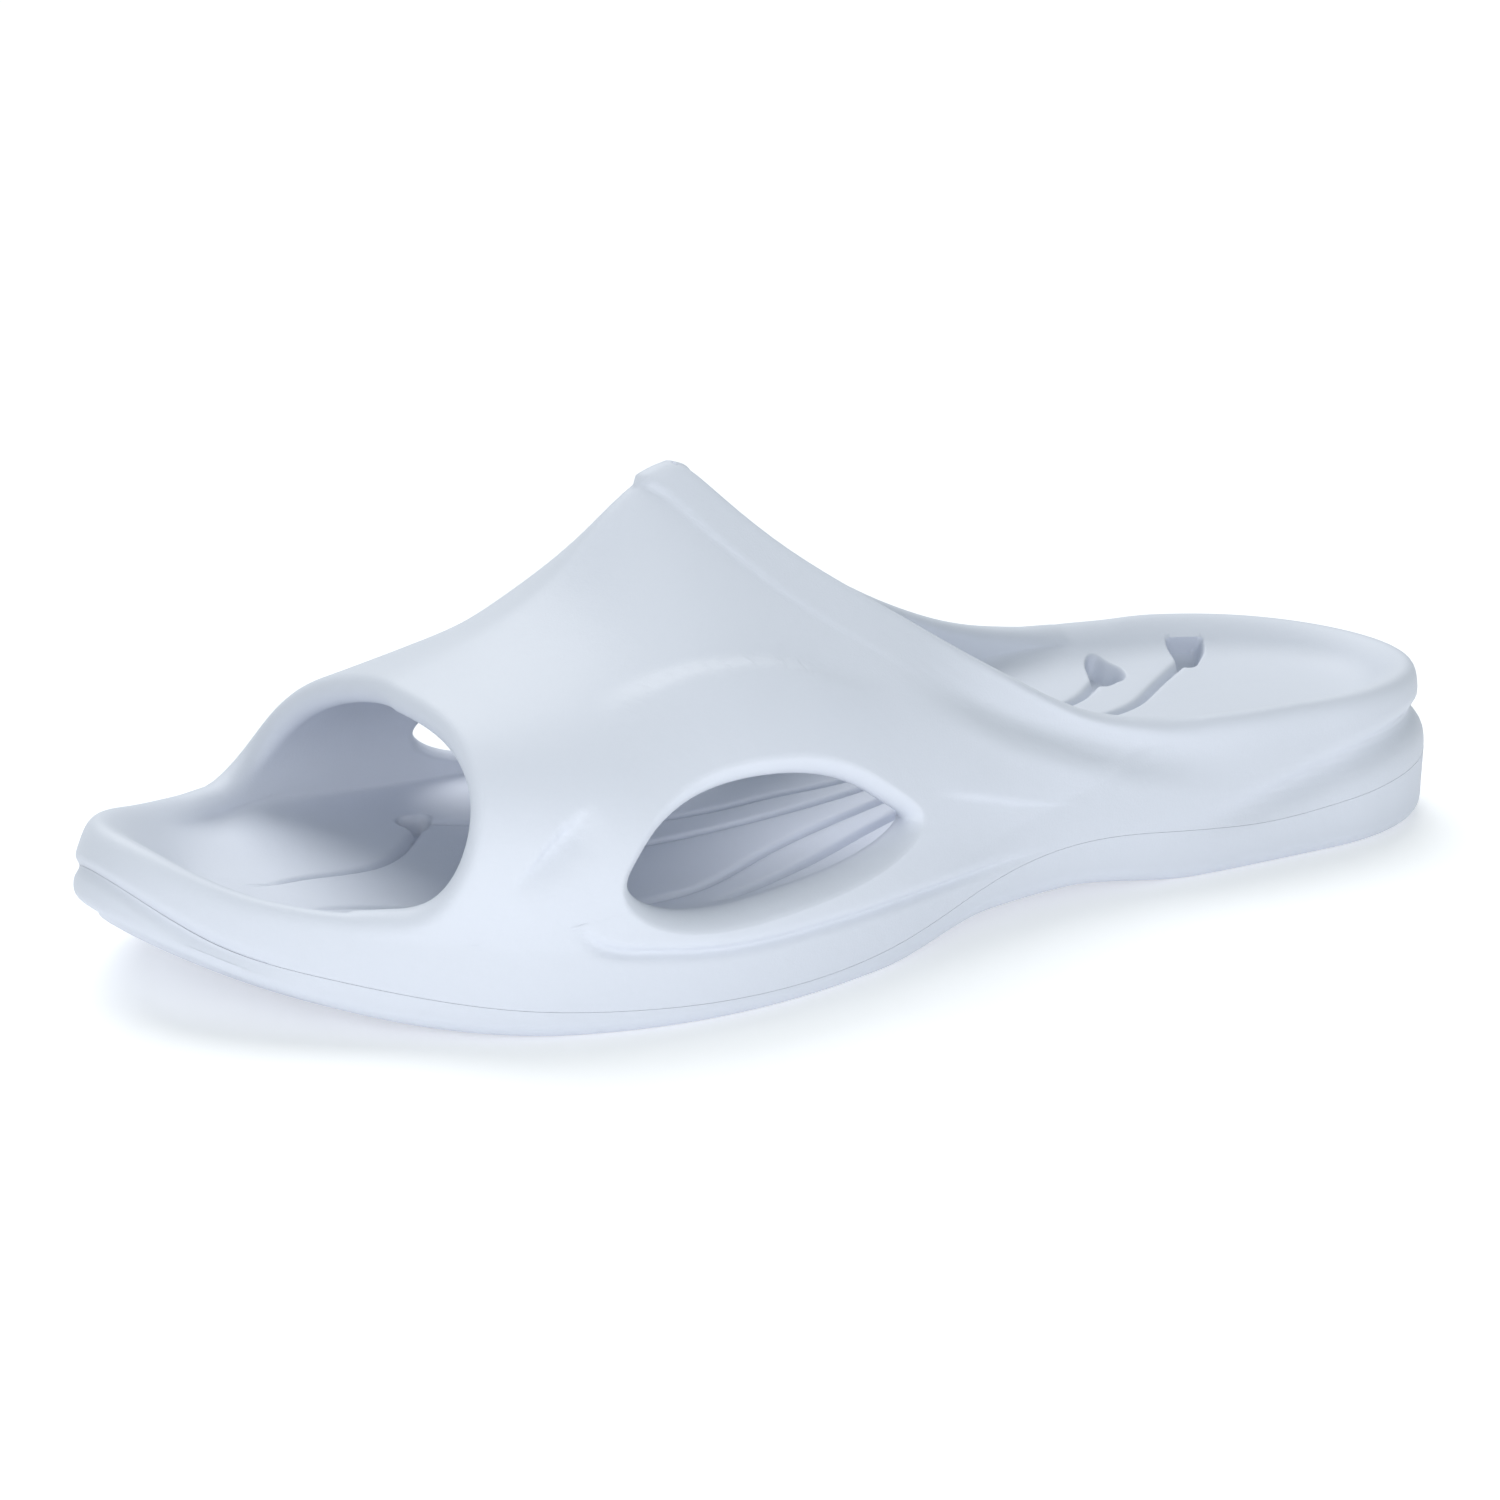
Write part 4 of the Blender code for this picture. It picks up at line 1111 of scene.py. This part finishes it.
@dataclass(frozen=True)
class FloorFinish:
    """Pale studio paper, lit from below as a light table is."""

    colour: tuple[float, float, float] = (0.90, 0.905, 0.92)
    fibres: Grain = Grain(0.004, 3.0, 0.5)
    roughness: float = 0.82
    fibre_roughness: float = 0.1
    glow: float = 0.26

    def material(self) -> bpy.types.Material:
        """Build the material."""
        board = Board("studio_paper")
        rough = board.noise(self.fibres) * self.fibre_roughness + self.roughness
        board.set(Base_Color=(*self.colour, 1.0), Roughness=rough, Specular_IOR_Level=0.2,
                  Emission_Color=(1.0, 1.0, 1.0, 1.0), Emission_Strength=self.glow)
        return board.material


@dataclass
class UpperFootbed:
    """Strap, side walls, footbed and midsole, moulded whole.

    Rows and rings are counts of net lines, and a spacing bunches them towards one edge.  Curves run from
    the rim down to the bed's middle; pull, drop and handle shape them.  Each refinement is a reach from a
    line and the widest line that counts.
    """

    form: SlideForm
    columns: Columns
    finish: FoamFinish
    girth_rows: int = 40
    girth_spacing: tuple[float, float] = (0.68, 0.32)
    wall_rows: int = 12
    bed_rows: int = 30
    bed_spacing: float = 1.5
    bed_pull: float = 0.62
    least_drop: float = 0.0005
    longest_handle: float = 0.5
    under_strap: tuple[float, float, float, float] = (0.20, 0.12, 0.93, 0.08)
    rim_rows: int = 15
    rim_bulge: float = 0.62
    under_rows: int = 6
    window_rings: int = 12
    window_spacing: float = 1.4
    window_first: int = 20
    window_last: int = 96
    window_top: int = 27
    lip_reach: float = 0.0027
    lip_share: float = 0.50
    crease_margin: float = 0.02
    crease_aside: float = 0.012
    dimple_margin: float = 1.2
    refinements: Rows = ((0.0012, 0.0035), (0.0003, 0.0011))
    hard_angle: float = 75.0
    band: ThroatBand = ThroatBand()

    def frame_of(self, rows: Numbers) -> Numbers:
        """Closed loop round the part of a row-by-column array that a window takes."""
        block = rows[:self.window_top + 1, self.window_first:self.window_last + 1]
        return np.concatenate([block[0, :-1], block[:-1, -1], block[-1, :0:-1], block[:0:-1, 0]])

    def bond_up(self, s: Numbers) -> Numbers:
        """Height of the face underneath that is bonded to the outsole."""
        return self.form.parting_up(s) + self.form.bond_gap

    def walls(self, net: Net) -> list[Numbers]:
        """Outer wall from the parting line up to its top row."""
        s, signs = self.columns.ring()
        form = self.form
        edge, low = form.edge_all_round(s, signs), self.bond_up(s)
        rows = []
        for k in range(self.wall_rows + 1):
            z = low + (edge - low) * k / self.wall_rows
            x, y = form.outline(s, signs, form.wall_inset(s, z))
            rows.append(net.add(np.stack([x, y, z], -1), outer=1.0 if k else 0.0))
        net.skin(rows, closed=True)
        return rows

    def strap_skins(self, net: Net, wall_top: Numbers) -> tuple[Skins, Skins, Numbers, Skins]:
        """Lay out both skins of the strap.

        Args:
            net: the net.
            wall_top: point numbers of the wall's top row.

        Returns:
            Outer and inner skins by side, the shares along the strap, and the (x, girth) of every point.
        """
        steps = np.linspace(0, 1, self.girth_rows + 1)
        even, bunched = self.girth_spacing
        girths = even * steps + bunched * steps ** 3
        along = np.linspace(0, 1, self.columns.strap_steps + 1)
        first = self.columns.strap_feet()
        outer, inner, where = {}, {}, {}
        for side in Side:
            grid = np.array([self.form.strap_place(along, g, side) for g in girths])
            where[side] = np.stack([grid, np.repeat(girths[:, None], len(along), 1)], -1)
            out_rows, in_rows = [wall_top[first[side]]], []
            for g, x in zip(girths, grid):
                if g < 1 or side is Side.LATERAL:
                    in_rows.append(net.add(self.form.strap_inner(x, g, along, side)))
                    if g > 0:
                        out_rows.append(net.add(self.form.strap_outer(x, g, side), outer=1.0))
            if side is Side.MEDIAL:
                out_rows.append(outer[Side.LATERAL][-1])
                in_rows.append(inner[Side.LATERAL][-1])
            outer[side], inner[side] = np.array(out_rows), np.array(in_rows)
        return outer, inner, along, where

    def footbed(self, net: Net, inner: Skins) -> Numbers:
        """Footbed from the rim's inner row down to the middle line.

        Args:
            net: the net.
            inner: inner skins of the strap by side.

        Returns:
            Point numbers of the rim's inner row.
        """
        form, columns = self.form, self.columns
        s, signs = columns.ring()
        edge, first = form.edge_all_round(s, signs), columns.strap_feet()
        x, y = form.outline(s, signs, form.wall_inset(s, edge) + form.rim_wall)
        points = np.stack([x, y, edge + form.inner_rise], -1)
        for side in Side:
            feet = net.points[inner[side][0]]
            for end in (0, -1):
                column = first[side][end]
                away = np.abs(s - s[column]) / form.join_share
                pull = ease(1 - away) * (signs == side.value)
                points = points + pull[:, None] * (feet[end] - points[column])
            points[first[side]] = feet
        top_row = net.add(points)
        for side in Side:
            top_row[first[side]] = inner[side][0]
        mid_s, mid_y = columns.middle()
        centre = np.stack([mid_s * form.length, mid_y, form.bed_height * form.curves["bed"](mid_s)], -1)
        pair = columns.pair()
        target = centre[pair]
        reach = np.linalg.norm((points - target)[:, :2], axis=1)
        back, back_ramp, front, front_ramp = self.under_strap
        strap_share = ease((s - back) / back_ramp) * ease((front - s) / front_ramp)
        slant = np.radians(form.bed_slant + (form.strap_slant - form.bed_slant) * strap_share)
        drop = np.maximum(points[:, 2] - target[:, 2], self.least_drop)
        handle = np.minimum(drop / np.sin(slant), self.longest_handle * reach)
        rows = [top_row]
        for k in range(1, self.bed_rows):
            w = cubic(1 - (1 - k / self.bed_rows) ** self.bed_spacing)
            share = w[0] + w[1] * (1 - handle * np.cos(slant) / reach) + w[2] * self.bed_pull
            row = target + (points - target) * share[:, None]
            below = points[:, 2] - handle * np.sin(slant)
            row[:, 2] = w[0] * points[:, 2] + w[1] * below + (w[2] + w[3]) * target[:, 2]
            rows.append(net.add(row, bed=1.0))
        rows.append(net.add(centre, bed=1.0)[pair])
        net.skin(rows, closed=True)
        return top_row

    def windows(self, net: Net, skins: tuple[Skins, Skins], along: Numbers, where: Skins) -> None:
        """Skins of the strap round the windows, and the windows' bevelled edges.

        Args:
            net: the net.
            skins: outer and inner skins by side.
            along: shares along the strap.
            where: (x, girth) of every point by side.
        """
        form = self.form
        for side in Side:
            around = self.frame_of(where[side])
            share = self.frame_of(np.repeat(along[None, :], len(where[side]), 0))
            loops = []
            for skin, outside in ((skins[0][side], True), (skins[1][side], False)):
                turn = (side is Side.MEDIAL) == outside
                hole = form.window_loop(around, side, form.window_flare, 0.0 if outside else form.sill_slope)
                rows = [self.frame_of(skin)]
                for k in range(1, self.window_rings + 1):
                    t = 1 - (1 - k / self.window_rings) ** self.window_spacing
                    spot = around * (1 - t) + hole * t
                    if outside:
                        rows.append(net.add(form.strap_outer(spot[:, 0], spot[:, 1], side), outer=1.0))
                    else:
                        start = form.inner_start(share)
                        girth = np.clip((spot[:, 1] - start * t) / (1 - start * t), 0, 1)
                        rows.append(net.add(form.strap_inner(spot[:, 0], girth, share, side)))
                net.skin(rows, closed=True, flip=turn)
                loops.append(rows[-1])
                for k in range(len(skin) - 1):
                    pieces = ((skin[k], skin[k + 1]),) if k >= self.window_top else (
                        (skin[k][:self.window_first + 1], skin[k + 1][:self.window_first + 1]),
                        (skin[k][self.window_last:], skin[k + 1][self.window_last:]))
                    for low, high in pieces:
                        net.skin([low, high], flip=turn)
            net.bevel_edge(loops[0], loops[1], self.rim_rows, self.lip_reach, self.lip_share)

    def rims(self, net: Net, outer: Skins, inner: Skins, wall_top: Numbers, bed_top: Numbers) -> None:
        """Rounded rims: one round the throat and heel, one round the toe opening and toe."""
        heel_steps, strap_to, around = self.columns.heel_steps, self.columns.strap_to, 2 * self.columns.count
        for column, throat in ((0, True), (-1, False)):
            loops = []
            for row, skins in ((wall_top, outer), (bed_top, inner)):
                up, down = skins[Side.LATERAL][:, column], skins[Side.MEDIAL][::-1, column]
                if throat:
                    heel = np.concatenate([row[around - heel_steps:], row[:heel_steps + 1]])
                    loops.append(np.concatenate([up[:-1], down[:-1], heel[:-1]]))
                else:
                    toe = row[strap_to:around - strap_to + 1]
                    loops.append(np.concatenate([toe[:-1], down[::-1][:-1], up[::-1][:-1]]))
            net.round_edge(loops[0], loops[1], self.rim_rows, self.rim_bulge)

    def crease_offsets(self, points: Numbers,
                       zones: Numbers) -> list[tuple[Crease, Numbers, Numbers, Numbers]]:
        """Measure every crease from the points that it can reach.

        Args:
            points: points of the mesh.
            zones: their shares of the two reliefs.

        Returns:
            For each crease and side: the crease, the numbers of the points, and their offsets and shares.
        """
        form, margin, found = self.form, self.crease_margin, []
        for crease in SIDE_CREASES:
            for side in crease.sides:
                shift = crease.medial_shift if side is Side.MEDIAL else 0.0
                line = crease.line(form.ridge_height, form.length, shift)
                low, high = line.points.min(0) - margin, line.points.max(0) + margin
                spots = points[:, [0, 2]]
                pick = np.nonzero((zones[:, 0] > 0) & (points[:, 1] * side.value > self.crease_aside)
                                  & np.all((spots > low) & (spots < high), axis=1))[0]
                found.append((crease, pick, *line.measure(spots[pick])))
        for crease in BED_GROOVES:
            line = crease.line(form.half_ball, form.length, 0.0)
            pick = np.nonzero(zones[:, 1] > 0)[0]
            found.append((crease, pick, *line.measure(points[pick][:, :2])))
        return found

    def from_dimple(self, dimple: Dimple, points: Numbers) -> tuple[Numbers, Numbers]:
        """x and y of points as seen from a dimple's middle."""
        form = self.form
        return points[:, 0] - dimple.place * form.length, points[:, 1] - dimple.across * form.half_ball

    def near_lines(self, reach: float, widest: float) -> Callable[[Numbers, Numbers], Numbers]:
        """Make the test of which points lie near a line, so that the mesh is refined there.

        Args:
            reach: how far from the line's own width a point may lie.
            widest: widest line that counts.

        Returns:
            The test, from points and zones.
        """
        def test(points: Numbers, zones: Numbers) -> Numbers:
            """Which points lie near a line or in a dimple."""
            near = np.zeros(len(points), bool)
            for crease, pick, off, share in self.crease_offsets(points, zones):
                if crease.width < widest:
                    inside = (share > 0) & (share < 1) & (np.abs(off) < reach + crease.width)
                    near[pick[inside]] = True
            for dimple in BED_DIMPLES:
                far = dimple.polar(*self.from_dimple(dimple, points))[1]
                near |= (zones[:, 1] > 0) & (far < dimple.size * self.dimple_margin + reach)
            return near
        return test

    def relief(self, points: Numbers, zones: Numbers) -> Numbers:
        """How far each point is moved out by creases, grooves, dimples and the throat's band."""
        moves = np.zeros(len(points))
        for crease, pick, off, share in self.crease_offsets(points, zones):
            zone = zones[pick, 0 if crease in SIDE_CREASES else 1]
            moves[pick] += crease.depth(off, share) * zone
        for dimple in BED_DIMPLES:
            moves -= dimple.sink(*self.from_dimple(dimple, points)) * zones[:, 1]
        bands = [self.band.depth(self.form, points, side) for side in Side]
        return moves + np.maximum(*bands) * zones[:, 0]

    def build(self) -> bpy.types.Object:
        """Make the piece.

        Returns:
            The dressed object, riding on the body and standing for its CAD node.
        """
        net = Net()
        wall = self.walls(net)
        outer, inner, along, where = self.strap_skins(net, wall[-1])
        bed_top = self.footbed(net, inner)
        self.windows(net, (outer, inner), along, where)
        self.rims(net, outer, inner, wall[-1], bed_top)
        under = self.columns.face(net, wall[0], self.bond_up, self.under_rows)
        net.skin([wall[0]] + under, closed=True, flip=True)
        shell = Shell(net)
        for reach, widest in self.refinements:
            shell.refine(self.near_lines(reach, widest))
        shell.move(self.relief)
        piece = shell.piece("foam_upper", self.form.box_middle(), self.hard_angle)
        piece.data.materials.append(self.finish.material())
        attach(piece, "root")
        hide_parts("upper_footbed")
        return piece


@dataclass
class Outsole:
    """Bottom layer with its toe bumper, arch, heel and shallow tread.

    The tread's places are shares of the length; its margin is a distance from the sole's edge and a ramp.
    """

    form: SlideForm
    columns: Columns
    finish: FoamFinish
    corner_rows: int = 8
    corner_share: float = 0.8
    side_rows: int = 14
    under_rows: int = 26
    tread_pitch: float = 0.0095
    tread_depth: float = 0.0007
    tread_width: float = 0.0009
    tread_near: float = 0.0016
    wave_height: float = 0.0016
    wave_bends: float = 9.0
    heel_pad_to: float = 0.30
    ball_pad_from: float = 0.47
    tread_span: tuple[float, float] = (0.035, 0.955)
    tread_ramp: float = 0.02
    tread_margin: tuple[float, float] = (0.007, 0.002)
    hard_angle: float = 50.0

    def tread(self, points: Numbers) -> Numbers:
        """Distance of points on the underside from the nearest tread groove."""
        wave = self.wave_height * np.sin(points[:, 1] / self.form.half_ball * self.wave_bends)
        phase = (points[:, 0] + wave) / self.tread_pitch
        return np.abs(phase - np.round(phase)) * self.tread_pitch

    def tread_room(self, points: Numbers) -> Numbers:
        """1 on the two pads, falling to 0 at the arch and near the sole's edge."""
        form, ramp = self.form, self.tread_ramp
        (first, last), (margin, margin_ramp) = self.tread_span, self.tread_margin
        s = np.clip(points[:, 0] / form.length, 0, 1)
        width = form.half_ball * form.curves["half_width"](s) * form.end_round(s)
        inside = width - np.abs(points[:, 1] - form.half_ball * form.curves["shift"](s))
        pads = np.maximum(ease((self.heel_pad_to - s) / ramp), ease((s - self.ball_pad_from) / ramp))
        ends = ease((s - first) / ramp) * ease((last - s) / ramp)
        return pads * ends * ease((inside - margin) / margin_ramp)

    def near_tread(self, points: Numbers, zones: Numbers) -> Numbers:
        """Which points lie near a tread groove."""
        return (zones[:, 1] > 0) & (self.tread_room(points) > 0) & (self.tread(points) < self.tread_near)

    def relief(self, points: Numbers, zones: Numbers) -> Numbers:
        """How far each point is moved out by the tread's grooves."""
        sink = self.tread_depth * np.exp(-(self.tread(points) / self.tread_width) ** 4)
        return -sink * zones[:, 1] * self.tread_room(points)

    def build(self) -> bpy.types.Object:
        """Make the piece.

        Returns:
            The dressed object, riding on the body and standing for its CAD node.
        """
        net, form = Net(), self.form
        s, signs = self.columns.ring()
        top, floor = form.parting_up(s), form.underside(s)
        corner = np.minimum(form.edge_round, self.corner_share * (top - floor))
        rows = []
        for angle in np.linspace(0, np.pi / 2, self.corner_rows):
            x, y = form.outline(s, signs, form.edge_round * (1 - np.sin(angle)))
            rows.append(net.add(np.stack([x, y, floor + corner * (1 - np.cos(angle))], -1)))
        for k in range(1, self.side_rows + 1):
            z = floor + corner + (top - floor - corner) * k / self.side_rows
            x, y = form.outline(s, signs, form.wall_inset(s, z) - form.parting_step)
            rows.append(net.add(np.stack([x, y, z], -1)))
        net.skin(rows, closed=True)
        for edge, height, bed in ((rows[0], form.underside, 1.0), (rows[-1], form.parting_up, 0.0)):
            face = self.columns.face(net, edge, height, self.under_rows, bed)
            net.skin([edge] + face, closed=True, flip=bed > 0)
        shell = Shell(net)
        shell.refine(self.near_tread)
        shell.move(self.relief)
        piece = shell.piece("foam_outsole", form.box_middle(), self.hard_angle)
        piece.data.materials.append(self.finish.material())
        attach(piece, "root")
        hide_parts("outsole")
        return piece


def hang_light(data: bpy.types.Light, place: tuple[float, float, float], towards: Vector) -> None:
    """Put a light in the scene, shining in a direction."""
    lamp = bpy.data.objects.new(data.name, data)
    lamp.location = place
    lamp.rotation_euler = towards.to_track_quat("-Z", "Y").to_euler()
    bpy.context.scene.collection.objects.link(lamp)


@dataclass(frozen=True)
class Lamp:
    """A wide, distant soft box: the same light everywhere on the set."""

    name: str
    place: tuple[float, float, float]
    spread: float
    power: float

    def hang(self) -> None:
        """Put the light in the scene."""
        data = bpy.data.lights.new(self.name, "SUN")
        data.angle, data.energy = float(np.radians(self.spread)), self.power
        hang_light(data, self.place, -Vector(self.place))


@dataclass(frozen=True)
class SoftBox:
    """A long, low soft box that stands in front of the slide."""

    name: str
    place: tuple[float, float, float]
    width: float
    height: float
    power: float

    def hang(self) -> None:
        """Put the light in the scene, facing the middle."""
        data = bpy.data.lights.new(self.name, "AREA")
        data.shape, data.size, data.size_y, data.energy = "RECTANGLE", self.width, self.height, self.power
        hang_light(data, self.place, -Vector((*self.place[:2], 0.0)))


@dataclass(frozen=True)
class Studio:
    """Pale floor, soft light and a camera at the photograph's angle."""

    azimuth: float = 143.894
    elevation: float = 16.52
    roll: float = 2.147
    distance: float = 0.8579
    lens: float = 113.69
    sensor: float = 36.0
    nearest: float = 0.05
    aim_place: float = 0.1551
    aim_up: float = 0.0271
    floor_reach: float = 4.0
    room_colour: tuple[float, float, float, float] = (0.88, 0.985, 0.98, 1.0)
    ambient: float = 0.35
    overhead: Lamp = Lamp("overhead", (-0.16, -0.58, 0.80), 50.0, 2.15)
    low_front: SoftBox = SoftBox("low_front", (0.33, 0.64, 0.22), 0.9, 0.36, 2.9)

    def camera(self, form: SlideForm) -> None:
        """Stand the camera where the photograph was taken from."""
        turn, lift, roll = np.radians([self.azimuth, self.elevation, self.roll])
        back = Vector((np.sin(turn) * np.cos(lift), -np.cos(turn) * np.cos(lift), np.sin(lift)))
        right = Vector((np.cos(turn), np.sin(turn), 0.0))
        up = back.cross(right)
        across = right * float(np.cos(roll)) + up * float(np.sin(roll))
        upward = up * float(np.cos(roll)) - right * float(np.sin(roll))
        aim = Vector((np.array([self.aim_place, 0.0, self.aim_up]) - form.box_middle()).tolist())
        data = bpy.data.cameras.new("camera")
        data.lens, data.sensor_width, data.sensor_fit = self.lens, self.sensor, "HORIZONTAL"
        data.clip_start = self.nearest
        camera = bpy.data.objects.new("camera", data)
        camera.matrix_world = Matrix.Translation(aim + back * self.distance) @ Matrix(
            (across, upward, back)).transposed().to_4x4()
        bpy.context.scene.collection.objects.link(camera)
        bpy.context.scene.camera = camera

    def floor(self) -> None:
        """Lay the paper floor."""
        mesh = bpy.data.meshes.new("floor")
        far = self.floor_reach
        mesh.from_pydata([(-far, -far, 0), (far, -far, 0), (far, far, 0), (-far, far, 0)], [], [(0, 1, 2, 3)])
        floor = bpy.data.objects.new("floor", mesh)
        mesh.materials.append(FloorFinish().material())
        bpy.context.scene.collection.objects.link(floor)

    def light(self) -> None:
        """Hang the lamps and set the room's own light and the picture's colours."""
        world = bpy.data.worlds.new("studio")
        world.use_nodes = True
        glow = world.node_tree.nodes["Background"].inputs
        glow["Color"].default_value, glow["Strength"].default_value = self.room_colour, self.ambient
        bpy.context.scene.world = world
        self.overhead.hang()
        self.low_front.hang()
        bpy.context.scene.view_settings.view_transform = "Standard"
        bpy.context.scene.view_settings.look = "None"


def main() -> None:
    """Build the slide and the studio."""
    logging.basicConfig(level=logging.INFO, format="%(name)s: %(message)s")
    form = SlideForm()
    foam = {"colour": (0.684, 0.717, 0.803), "shade": (0.647, 0.682, 0.770)}
    columns = Columns(form, heel_steps=60, strap_steps=108, toe_steps=44)
    pieces = (
        UpperFootbed(form, columns, FoamFinish("ice_foam_upper", **foam)),
        Outsole(form, columns, FoamFinish("ice_foam_sole", **foam, roughness=0.60)),
    )
    for maker in pieces:
        piece = maker.build()
        piece.data.calc_loop_triangles()
        LOG.info("%s: %d triangles", piece.name, len(piece.data.loop_triangles))
    studio = Studio()
    studio.floor()
    studio.light()
    studio.camera(form)


if __name__ == "__main__":
    main()
